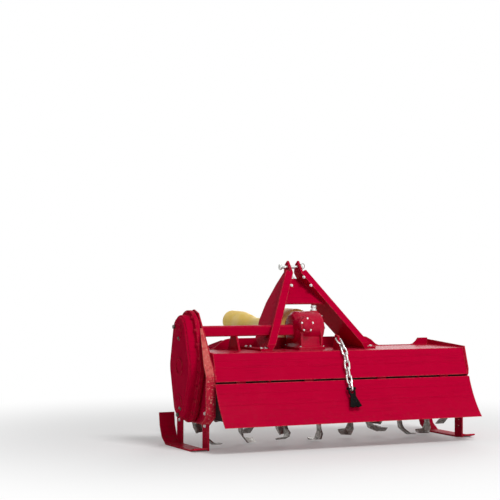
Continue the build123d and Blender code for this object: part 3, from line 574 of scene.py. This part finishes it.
class RotavatorLooks(bpy.types.PropertyGroup):
    """Colours and wear of the finishes."""
    enamel: colour_property("Enamel", "Red enamel where it is fresh", "#b60030")
    faded: colour_property("Faded enamel", "Enamel bleached by the sun", "#bf0c35")
    streak: colour_property("Streaks", "Darker streaks along the sheets where the coat is thin", "#8c0024")
    rubbed: colour_property("Rubbed edge", "Primer and rust where edges are rubbed", "#d0625c")
    dust: colour_property("Dust and sheen", "Dry dust and a painted sky sheen on faces that look up", "#b85a5c")
    soil: colour_property("Soil", "Earth splashed up from below", "#5c4334")
    plastic: colour_property("Guard plastic", "Yellow of the plastic guards", "#f8d468")
    dust_and_sheen_share: FloatProperty(name="Dust amount", description="How much the dust and painted sheen cover", default=0.35,
                        min=0.0, max=1.0, subtype="FACTOR")


class RotavatorFasteners(bpy.types.PropertyGroup):
    """Sizes and numbers of the fasteners."""
    case_bolts: IntProperty(name="Case bolts", description="Bolts round the side case", default=18, min=4)
    case_bolt: length_property("Case bolt", "Half width of a case bolt's head", 9.0)
    foot_bolt: length_property("Foot bolt", "Half width of the foot bolts' heads", 12.0)
    blade_bolt: length_property("Blade bolt", "Half width of the blade bolts' heads", 8.5)
    weld: length_property("Weld", "Half width of a weld bead", 4.0)


class RotavatorChain(bpy.types.PropertyGroup):
    """Sizes of the tailboard's chain."""
    wire: length_property("Wire radius", "Radius of a link's wire", 5.0)
    half_wide: length_property("Half width", "From a link's middle to its wire's middle", 13.0)
    inside: length_property("Inside length", "Length inside a link", 40.4)
    step: length_property("Step", "From one joint of the chain to the next", 38.2)


class RotavatorStage(bpy.types.PropertyGroup):
    """Camera and light."""
    lens: FloatProperty(name="Lens", description="Focal length of the camera", default=108.0, unit="CAMERA")
    key: power_property("Key light", "Power of the large lamp", 180.0)
    low: power_property("Low light", "Power of the low lamp behind", 50.0)
    fill: power_property("Fill light", "Power of the fill lamp", 90.0)
    sky: FloatProperty(name="Sky", description="Strength of the even light around", default=0.3, min=0.0)


# ---- pieces ----
# each finish: the function that makes it, its settings, and the frame's nodes that wear it
SHEET = {"grain_mm": 90, "grain": 0.25, "gloss": 0.18, "level": 0.03, "soil": 0.15}
FINISHES = {
    # cold-rolled sheet: smooth and glossy, with broad shallow waves from the press
    "red enamel on sheet steel": (enamel, dict(SHEET, wear=0.85), (
        "hood_shell", "end_plate_left", "end_plate_right", "tailboard")),
    # the same sheet where the press has rounded it over, with nothing to rub
    "red enamel on pressed swages": (enamel, dict(SHEET, wear=0.0), ()),
    # hot-rolled plate, sawn and welded: a little orange peel and more rubbing
    "red enamel on rolled plate": (
        enamel, dict(wear=0.75, grain_mm=7, grain=0.12, gloss=0.24, level=0.008), (
            "front_beam", "cross_tube", "tube_brackets", "mast_arm_left", "mast_arm_right",
            "mast_cross_plate", "hitch_clevis_left", "hitch_clevis_right", "skid_left", "skid_right",
            "chain_lug", "driveshaft_rest")),
    # sand-cast iron: a pebbled skin about four millimetres across, coarser than real so it shows
    "red enamel on cast iron": (
        enamel, dict(wear=0.45, grain_mm=4, grain=0.35, gloss=0.16, level=0.16),
        ("gearbox_housing", "gearbox_rear_cover", "bearing_housing_right")),
    # the side case's iron is ground flatter and has gone dull beside the tractor's wheel
    "dull enamel on cast iron": (
        enamel, dict(wear=0.4, grain_mm=5, grain=0.25, gloss=0.5, level=0.008),
        ("side_case_cover", "side_case_body")),
    # bolts painted over with the case; a large share of brown darkens the lower ones in patches
    "enamelled bolt steel": (
        enamel, dict(wear=0.3, grain_mm=3, grain=0.3, gloss=0.4, level=0.02, soil=0.9), ()),
    "weathered enamel on a folded flange": (weathered_enamel, {}, ()),
    "scoured blade steel": (rotor_paint, {}, ("bladed_rotor",)),
    "yellow polyethylene": (polyethylene, {}, ("input_guard", "driveshaft_guard")),
    "zinc-plated steel": (
        zinc_plating, {"bright": "#e2e3e2", "dull": "#b3b3ae", "gloss": 0.25},
        ("top_link_pin", "lower_link_pins", "filler_plug", "tailboard_chain")),
    # zinc-plated steel made a dark, flat brown
    "dull zinc-plated steel": (
        zinc_plating, {"bright": "#6d645c", "dull": "#4a3f38", "gloss": 0.5},
        ("case_plugs", "hinge_rod")),
    "black chassis paint": (black_paint, {}, ("chain_hook",)),
    # black rubber for the curtains, and black painted shade for the strip behind the tailboard's hinge
    "black rubber and painted shade": (rubber, {}, ()),
    "oiled turned steel": (turned_steel, {}, ("rotor_stubs", "input_shaft", "driveshaft")),
}
MATERIALS = {}


def finish(name):
    """A finish by name, once the finishes have been made."""
    if name not in MATERIALS:
        raise RuntimeError("the finishes are made first")
    return MATERIALS[name]


class ROTAVATOR_OT_finishes(bpy.types.Operator):
    """Make the finishes and put them on the frame's own nodes"""
    bl_idname = "rotavator.finishes"
    bl_label = "Finishes"

    def execute(self, context):
        for name, (make, settings, nodes) in FINISHES.items():
            MATERIALS[name] = new_material(name, make, **settings)
            for node in nodes:
                for slot in frame["nodes"][node].material_slots:
                    slot.material = MATERIALS[name]
        return {"FINISHED"}


class ROTAVATOR_OT_side_case(bpy.types.Operator):
    """Make the side case's cover with rounded shoulders, its bosses and its ring of bolts"""
    bl_idname = "rotavator.side_case"
    bl_label = "Side case"

    def execute(self, context):
        sizes = context.scene.rotavator_fasteners
        # the cover's section, from the flange's back round its shoulder to the raised face: how far
        # it stands out from the case's rounds, and how far left
        section = [
            (22, 776), (24, 777.5), (24, 782), (22.5, 784), (7, 784.3), (2.5, 785.5), (0, 789), (0, 817),
            (-1.2, 821), (-4, 824), (-8, 824.8), (-10, 826), (-11.5, 830), (-14, 832.6), (-18, CASE_FACE),
        ]
        from_left = [(-y, z, radius) for y, z, radius in CASE_ROUNDS]
        rings = [np.insert(hull_outline(from_left, grow), 2, left, axis=1) for grow, left in section]
        upper, lower = (turned([(r, 0), (r, 3.2), (0.95 * r, 4)]) for r in (40, 44))
        middle = turned([(46, 0), (46, 3.2), (44.5, 4), (35.5, 4), (34, 3.2), (34, 0)], hollow=True)
        cover = joined(
            skin(np.stack(rings)), moved(upper, (0, 360, CASE_FACE)),
            moved(middle, (8, 186, CASE_FACE)), moved(lower, (0, 0, CASE_FACE)),
        )
        cover = placed("case_cover_cast", moved(cover, turn=TO_LEFT), "dull enamel on cast iron")
        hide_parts("side_case_cover")

        ring = spaced(hull_outline(CASE_ROUNDS, 12), sizes.case_bolts, 0.4)
        ring = np.insert(ring, 0, -784, axis=1)
        small = [circle(3, radius, (-CASE_FACE - 4, 0, z), 0.5) for z, radius in ((360, 29), (0, 32))]
        heads = joined(bolts(ring, -X_AXIS, sizes.case_bolt / MM), bolts(np.vstack(small), -X_AXIS, 5.5))
        heads = placed("case_bolts", heads, "enamelled bolt steel")

        # level and drain plugs: a sunk collar round a six-sided plug
        plug = joined(turned([(13, 0), (13, 2), (11.5, 3)], 32), turned([(8, 2), (8, 7), (7, 8)], 6))
        plugs = copies(plug, [(-CASE_FACE, -10, 331), (-CASE_FACE, -26, -25)], [aim(-X_AXIS)] * 2)
        plugs = placed("case_level_plugs", plugs, "dull zinc-plated steel")
        return {"FINISHED"}


class ROTAVATOR_OT_gearbox(bpy.types.Operator):
    """Make the cast gearbox with its foot, ribs, neck and rear cover"""
    bl_idname = "rotavator.gearbox"
    bl_label = "Gearbox"

    def execute(self, context):
        forward, rearward = aim(Y_AXIS), aim(-Y_AXIS)
        barrel = turned([
            (60, -190), (66, -189), (70, -186), (73, -180), (80, -175), (84.5, -170), (86, -164), (86, -44),
            (84, -35), (78, -29), (70, -26), (64, -25), (62.5, -23), (60, -19), (57, -17), (52, -16),
        ], 64)
        barrel = moved(barrel, (0, 0, DRIVE_Z), aim(X_AXIS))
        foot = lofted([(78, 92, 10, 260), (78, 92, 10, 272), (75, 89, 9, 276), (70, 80, 12, 282),
                       (64, 74, 14, 300), (60, 72, 16, 330), (58, 70, 16, 360)])
        foot = moved(foot, (GEARBOX_X, 0, 0))
        rib = plate([(-91, 262), (91, 262), (85, 372), (-85, 372)], 14, 3)
        ribs = [moved(rib, (x, 0, 0), aim(X_AXIS, math.pi / 2)) for x in (-166, -48)]
        neck = turned([
            (78, 40), (70, 66), (66, 84), (66, 128), (72, 131), (74, 135), (74, 144), (72, 146)], 56)
        boss = turned([(48, 40), (45, 66), (42, 80), (42, 98), (41, 100)])
        cap = turned([(25, 60), (21, 82), (20, 87), (19, 89)], 24)
        casting = joined(
            barrel, foot, *ribs, moved(neck, DRIVE_LINE, forward),
            moved(boss, (COVER_X, 0, COVER_Z), rearward), moved(cap, (FILLER_X, 0, DRIVE_Z)),
        )
        casting = placed("gearbox_casting", casting, "red enamel on cast iron")
        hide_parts("gearbox_housing")

        cover = turned([(39, 0), (40, 1.5), (40, 9), (38, 11.5), (32, 12), (28, 13), (27, 18), (24, 20)])
        cover = moved(cover, (COVER_X, -100, COVER_Z), rearward)
        cover = placed("gearbox_cover_pressing", cover, "red enamel on cast iron")
        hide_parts("gearbox_rear_cover")

        plug = joined(turned([(18, 0), (18, 4), (16.5, 6)], 32), turned([(15, 5), (15, 14), (14, 16)], 6),
                      turned([(15, 14), (15.5, 16), (15.5, 24), (13, 27), (8, 28)], 32))
        plug = placed("filler_plug_turned", moved(plug, (FILLER_X, 0, 463)), "zinc-plated steel")
        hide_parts("filler_plug")

        feet = [(GEARBOX_X + x, y, 275) for x in (-68, 66) for y in (-84, 84)]
        heads = joined(
            bolts(circle(5, 33.5, (COVER_X, -111.8, COVER_Z), 0.3, X_AXIS), -Y_AXIS, 5.5),
            bolts(circle(6, 69, (-25.5, 0, DRIVE_Z)), X_AXIS, 7), bolts(feet, Z_AXIS, 7),
        )
        heads = placed("gearbox_bolts", heads, "zinc-plated steel")
        return {"FINISHED"}


class ROTAVATOR_OT_guards(bpy.types.Operator):
    """Make the plastic cup on the gearbox's neck and the driveshaft's ribbed guard"""
    bl_idname = "rotavator.guards"
    bl_label = "Guards"

    def execute(self, context):
        cup = turned([
            (36, 154), (34, 152), (34, 147), (36, 146), (88, 146), (93, 149), (95, 154), (95, 252),
            (93.5, 255), (95, 258), (95, 267), (94, 270), (91.5, 270), (90.5, 268), (91, 160), (89, 155),
        ], 72, hollow=True)
        cup = placed("coupling_cup", moved(cup, DRIVE_LINE, aim(Y_AXIS)), "yellow polyethylene")
        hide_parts("input_guard")

        # the guard's outer radius from its wide mouth to the tractor; both ends have moulded ribs
        mouth, waist_from, waist_to, end = 285, 420, 700, 985
        wall, rib_high, rib_step = 3.2, 1.4, 14
        y = np.linspace(mouth, end, 351)
        outside = np.interp(y, [mouth, 350, 400, 440, 660, 740, 840, end], [62, 62, 52, 30, 30, 44, 60, 62])
        ribs = rib_high * np.sin((y - mouth) * 2 * math.pi / rib_step)
        outside += np.where((y < waist_from) | (y > waist_to), ribs, 0)
        loop = np.vstack([np.column_stack([outside, y]), np.column_stack([outside - wall, y])[::-1]])
        guard = moved(turned(loop, hollow=True), DRIVE_LINE, aim(Y_AXIS))
        guard = placed("driveshaft_guard_moulded", guard, "yellow polyethylene")
        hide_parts("driveshaft_guard")
        return {"FINISHED"}


class ROTAVATOR_OT_chain(bpy.types.Operator):
    """Make the tailboard's chain of round wire, its links threaded through each other, and its hook"""
    bl_idname = "rotavator.chain"
    bl_label = "Chain"

    def execute(self, context):
        size = context.scene.rotavator_chain
        wire, half_wide, step = size.wire / MM, size.half_wide / MM, size.step / MM
        straight = size.inside / MM / 2 + wire - half_wide
        v = angles(24)
        end = np.sign(np.sin(v + 1e-9)) * straight
        ring = np.column_stack([half_wide * np.cos(v), np.zeros(24), half_wide * np.sin(v) + end])
        link = tube(ring, -Y_AXIS, wire, 10, closed=True)
        # each link leans back from the upright by its own angle; every other one is turned a quarter
        leans = np.radians([56, 50, 36, 22, 14, 17, 24, 25])
        fall = np.column_stack([np.zeros(8), -np.sin(leans), -np.cos(leans)])
        first = np.array([0, -166.0, 322.0]) + fall[0] * 6.6
        joints = first + np.vstack([np.zeros(3), np.cumsum(fall * step, axis=0)])
        turns = [turn_x(-lean) @ (np.array([[0, -1, 0], [1, 0, 0], [0, 0, 1]]) if k % 2 else np.eye(3))
                 for k, lean in enumerate(leans)]
        chain = copies(link, (joints[:-1] + joints[1:]) / 2, turns)
        chain = placed("lift_chain", chain, "zinc-plated steel", None, 60)
        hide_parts("tailboard_chain")
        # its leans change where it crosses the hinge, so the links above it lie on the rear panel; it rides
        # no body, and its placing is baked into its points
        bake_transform(chain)

        # the hook lies along the tailboard; its fork and pin hold the last link's lower bend
        fork = plate([
            (-33, -88), (-12, -94), (2, -86), (14, -94), (35, -86), (21, -46), (15, -28), (20, -10),
            (19, 20), (14, 23), (10, 18), (9.5, -14), (-9.5, -14), (-10, 18), (-14, 23), (-19, 20),
            (-20, -10), (-15, -28), (-20, -46),
        ], 9, 2)
        pin = turned([(7, -25), (7, -20), (4.5, -19), (4.5, 19), (7, 20), (7, 25)], 20)
        post = turned([(11, -25), (11, 4), (9, 7)], 28)
        hook = joined(fork, moved(pin, (0, 13.3, 1.2), aim(X_AXIS)), moved(post, (0, -56, 0)))
        lean = math.radians(30)
        along = np.array([0, math.sin(lean), math.cos(lean)])
        lay = np.column_stack([X_AXIS, along, np.cross(X_AXIS, along)])
        hook = moved(hook, joints[-1] + (0, -3.0, -6.6), lay)
        hook = placed("chain_hook_forged", hook, "black chassis paint", "tailboard")
        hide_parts("chain_hook")
        return {"FINISHED"}


class ROTAVATOR_OT_fasteners(bpy.types.Operator):
    """Make the bolt heads of the hood, mast, skids and rotor, and the pins' rings"""
    bl_idname = "rotavator.fasteners"
    bl_label = "Fasteners"

    def execute(self, context):
        sizes = context.scene.rotavator_fasteners
        foot = sizes.foot_bolt / MM
        feet = [(MAST_X + side * x, y, 272) for side in (-1, 1) for x in (298, 324) for y in (-90, 100)]
        skids = [[(side * 758, y, z) for y in (-171, 163) for z in (-44, -106)] for side in (-1, 1)]
        # on the flanges of the mast's arms, level with the top and the foot of the cross plate
        arms = [(MAST_X + side * (arm_out(z) - 15), -118 + (z - 293) * 0.6925, z)
                for side in (-1, 1) for z in (640, 596)]
        heads = joined(
            bolts(feet, Z_AXIS, foot * 0.8), bolts(skids[0], -X_AXIS, foot * 0.8),
            bolts(skids[1], X_AXIS, foot * 0.8),
            bolts(circle(6, 76, (762, 0, 0), 0.25), X_AXIS, foot * 0.75),
            bolts(arms, (0, -0.822, 0.569), foot * 0.7),
        )
        heads = placed("frame_bolts", heads, "zinc-plated steel")

        # two bolts through every blade's shank and its flange, on the side away from the blade
        places = {1: [], -1: []}
        for index, x in enumerate(FLANGE_X):
            for k in range(6):
                # they turn right and left by turns, and inwards at both ends
                side = {FLANGE_X[0]: 1, FLANGE_X[-1]: -1}.get(x, (-1) ** k)
                turn = turn_x(math.radians(60 * k + 24 * index))
                places[side] += [turn @ (0, y, -76) + (x + side * 13, 0, 0) for y in (-6, 12)]
        heads = joined(*(bolts(at, side * X_AXIS, sizes.blade_bolt / MM) for side, at in places.items()))
        heads = placed("blade_bolts", heads, "oiled turned steel", "rotor")

        # sprung rings of the linchpins, at the end of the top pin and of each lower pin
        loop = tube(circle(28, 20, (0, 0, 0), across=X_AXIS), -Y_AXIS, 2.2, 8, closed=True)
        peg = turned([(3.5, -16), (4.5, -14), (4.5, 14), (6, 15), (6, 20), (4, 21)], 16)
        shapes = []
        ends = (50, 190, 695, 0.5), (-PIN_OUT - 52, 415, 235, 0.2), (PIN_OUT + 52, 415, 235, -0.3)
        for x, y, z, lean in ends:
            place = np.array([MAST_X + x, y, z])
            shapes += [moved(peg, place), moved(loop, place + (0, 0, 2), turn_x(lean))]
        pins = placed("linchpins", joined(*shapes), "zinc-plated steel")
        return {"FINISHED"}


class ROTAVATOR_OT_shields(bpy.types.Operator):
    """Make the black strip behind the tailboard's hinge, painted shade for the gap there, and the rubber
    curtains at its two ends
    """
    bl_idname = "rotavator.shields"
    bl_label = "Shade strip and rubber curtains"

    def execute(self, context):
        # the strip is painted shade, a black sheet behind the hinge's gap where it lies in shadow; it hangs
        # from the rear panel's inside and bellies forward, its section carried along X
        top, foot, thick = 150, 84, 2.5
        z = np.linspace(top, foot, 12)
        y = -241 + 4 * np.sin((top - z) / (top - foot) * math.pi)
        x = np.linspace(-738, 738, 60)
        sag = 0.8 * np.sin(x / 90)[:, None]
        rear, front = (
            np.stack(np.broadcast_arrays(x[:, None], y[None] + offset + sag, z[None]), axis=-1)
            for offset in (0.0, thick))
        strip = skin(np.concatenate([rear, front[:, ::-1]], axis=1))
        strip = placed("painted_shade_strip", strip, "black rubber and painted shade")

        # each curtain fills the wedge between an end plate's rear edge and the tailboard's inside
        z = np.linspace(100, -70, 9)
        outline = np.vstack([[(-245, 116)], np.column_stack([tail_y(z, -8), z]), [(-250, -70)]])
        curtain = plate((outline * (-1, 1))[::-1], 3, 0.8)
        curtains = joined(*(moved(curtain, (side * (INSIDE_HALF - 3), 0, 0), TO_LEFT) for side in (-1, 1)))
        curtains = placed("end_curtains", curtains, "black rubber and painted shade")
        return {"FINISHED"}


class ROTAVATOR_OT_sheet_edges(bpy.types.Operator):
    """Make the left end plate's folded flange, the hood's corner gusset and the pressed swages"""
    bl_idname = "rotavator.sheet_edges"
    bl_label = "Sheet edges"

    def execute(self, context):
        # the flange stands out from the end plate along its rear edge: a flat section with rounded
        # edges, carried down the edge and growing as it clears the gear case
        corners = [(-112, 383), (-272, 150), (-264, 110), (-264, -56), (-206, -96)]
        path = rounded(corners, (0, 60, 24, 40, 0), 7)
        tangent = unit(np.gradient(path, axis=0))
        inward = np.column_stack([-tangent[:, 1], tangent[:, 0]])
        wide = np.interp(run_along(path), [0, 40, 110, 300], [12, 34, 45, 45])
        v = angles(16)
        # a circle stretched past its bounds and cut off there makes the flat section with round edges
        across, through = (np.clip(1.45 * wave(v), -1, 1) for wave in (np.cos, np.sin))
        x = -749 - wide[:, None] * (across + 1) / 2
        section = path[:, None] + inward[:, None] * (through * 3 + 3)[None, :, None]
        flange = skin(np.concatenate([x[..., None], section], axis=-1))
        flange = placed("end_plate_flange", flange, "weathered enamel on a folded flange", smooth=50)

        # a gusset closes the corner between the deck's rear fold and the left end plate
        gusset = plate([(230, 258), (170, 258), (205, 185), (252, 185)], 4, 1)
        gusset = moved(gusset, (3 - INSIDE_HALF, 0, 0), TO_LEFT)
        gusset = placed("corner_gusset", gusset, "red enamel on sheet steel")

        # low swages pressed along the rear panel and the tailboard: P = C(x) + 4 cos v T + 0.9 sin v N,
        # each row given by its y and z and by how far T leans from the upright
        x = np.linspace(-735, 735, 25)
        v = angles(12)
        for name, body, rows in (
            ("panel_swages", "frame", ((-240.9, 225.0, 0.31), (-251.7, 190.0, 0.31))),
            ("tail_swages", "tailboard", [
                (tail_y(z), z, (TAIL_Z - z) / (tail_y(z) - TAIL_Y)) for z in (64, 8)]),
        ):
            shapes = []
            for y, z, slope in rows:
                along = np.array([0, slope, 1]) / math.hypot(slope, 1)
                out = np.array([0, -along[2], along[1]])
                ring = 4 * np.cos(v)[:, None] * along + 0.9 * np.sin(v)[:, None] * out
                line = np.column_stack([x, np.full(25, y), np.full(25, z)])
                shapes.append(skin(line[:, None] + ring))
            ribs = placed(name, joined(*shapes), "red enamel on pressed swages", body, 60)
        return {"FINISHED"}


class ROTAVATOR_OT_welds(bpy.types.Operator):
    """Lay the weld beads along the seams of the hood, beam, mast and clevises"""
    bl_idname = "rotavator.welds"
    bl_label = "Welds"

    def execute(self, context):
        outer, beam_y = 741, 133
        seams = [
            ((-outer, -229, 259.5), (-outer, 140, 259.5)), ((outer, -229, 259.5), (outer, 140, 259.5)),
            ((-outer, beam_y, 260), (-220, beam_y, 260)), ((60, beam_y, 260), (outer, beam_y, 260)),
        ]
        for side in (-1, 1):
            foot_x = MAST_X + side * (arm_out(266) - 8)
            clevis_x = MAST_X + side * PIN_OUT
            seams += [
                ((foot_x, -108, 262), (foot_x, beam_y, 262)),
                ((MAST_X + side * 126, 68, 503), (MAST_X + side * 45, 213, 633)),
                ((side * 6, -196, 261), (side * 6, -134, 261)),
                ((-520 + side * 6, -68, 261), (-520 + side * 6, 66, 261)),
                *(((x, 146, 264), (x, 146, 298)) for x in (clevis_x - 37, clevis_x + 37)),
            ]
        for x in (-outer, -190):
            seams += [((x, y, TUBE_Z - 22), (x, y, TUBE_Z + 22)) for y in (-40, 40)]
            seams += [((x, -35, z), (x, 35, z)) for z in (TUBE_Z - 27, TUBE_Z + 27)]
        radius = context.scene.rotavator_fasteners.weld / MM
        beads = joined(*(bead(start, end, radius) for start, end in seams))
        beads = placed("weld_beads", beads, "red enamel on rolled plate", smooth=60)
        return {"FINISHED"}


class ROTAVATOR_OT_stage(bpy.types.Operator):
    """Set the floor, the lamps and the camera"""
    bl_idname = "rotavator.stage"
    bl_label = "Stage"

    def execute(self, context):
        stage = context.scene.rotavator_stage
        mesh = bpy.data.meshes.new("studio_floor")
        mesh.from_pydata([(-60, -60, 0), (60, -60, 0), (60, 60, 0), (-60, 60, 0)], [], [(0, 1, 2, 3)])
        mesh.materials.append(new_material("pale studio floor", stage_floor))
        floor = bpy.data.objects.new("studio_floor", mesh)
        context.scene.collection.objects.link(floor)

        world = bpy.data.worlds.new("studio")
        world.use_nodes = True
        tree = world.node_tree
        tree.nodes.clear()
        plain, white = (add(tree, "Background", {"Color": WHITE, "Strength": strength})
                        for strength in (stage.sky, 1.0))
        sky = add(tree, "MixShader", {0: seen_or_mirrored(tree), 1: plain, 2: white})
        add(tree, "OutputWorld", {"Surface": sky})
        context.scene.world = world

        for name, power, size, place in (
            ("key", stage.key, 1.6, (0.2, -4.0, 5.0)),
            ("low", stage.low, 2.5, (0.8, -6.0, 1.2)),
            ("fill", stage.fill, 2.5, (3.4, 4.2, 3.2)),
        ):
            lamp = bpy.data.lights.new(name, "AREA")
            lamp.energy, lamp.size = power, size
            light = bpy.data.objects.new(name, lamp)
            light.location = place
            light.rotation_euler = (Vector((0, 0, 0.4)) - Vector(place)).to_track_quat("-Z", "Y").to_euler()
            context.scene.collection.objects.link(light)

        lens = bpy.data.cameras.new("camera")
        lens.lens, lens.clip_end = stage.lens, 200
        camera = bpy.data.objects.new("camera", lens)
        # rolled, tilted up from looking straight down, and turned to the right
        camera.matrix_world = Matrix.Translation((-3.783, -7.412, 0.929))
        for degrees, axis in ((-25.3, "Z"), (90.64, "X"), (0.13, "Z")):
            camera.matrix_world = camera.matrix_world @ Matrix.Rotation(math.radians(degrees), 4, axis)
        context.scene.collection.objects.link(camera)
        context.scene.camera = camera
        context.scene.view_settings.view_transform = "Standard"
        return {"FINISHED"}


class ROTAVATOR_PT_panel(bpy.types.Panel):
    """Lists the rotavator's settings and pieces"""
    bl_idname = "ROTAVATOR_PT_panel"
    bl_label = "Rotavator"
    bl_space_type = "VIEW_3D"
    bl_region_type = "UI"
    bl_category = "Rotavator"

    def draw(self, context):
        for group in SETTINGS:
            settings = getattr(context.scene, group)
            box = self.layout.box()
            for name in settings.__annotations__:
                box.prop(settings, name)
        for operator in PIECES:
            self.layout.operator(operator.bl_idname)


SETTINGS = {
    "rotavator_looks": RotavatorLooks,
    "rotavator_fasteners": RotavatorFasteners,
    "rotavator_chain": RotavatorChain,
    "rotavator_stage": RotavatorStage,
}
PIECES = (
    ROTAVATOR_OT_finishes, ROTAVATOR_OT_side_case, ROTAVATOR_OT_gearbox, ROTAVATOR_OT_guards,
    ROTAVATOR_OT_chain, ROTAVATOR_OT_fasteners, ROTAVATOR_OT_shields, ROTAVATOR_OT_sheet_edges,
    ROTAVATOR_OT_welds, ROTAVATOR_OT_stage,
)
CLASSES = (*SETTINGS.values(), *PIECES, ROTAVATOR_PT_panel)


def register():
    for each in CLASSES:
        bpy.utils.register_class(each)
    for name, group in SETTINGS.items():
        setattr(bpy.types.Scene, name, PointerProperty(type=group))


def unregister():
    for name in SETTINGS:
        delattr(bpy.types.Scene, name)
    for each in reversed(CLASSES):
        bpy.utils.unregister_class(each)


def main():
    register()
    for piece in PIECES:
        group, name = piece.bl_idname.split(".")
        getattr(getattr(bpy.ops, group), name)()


if __name__ == "__main__":
    main()
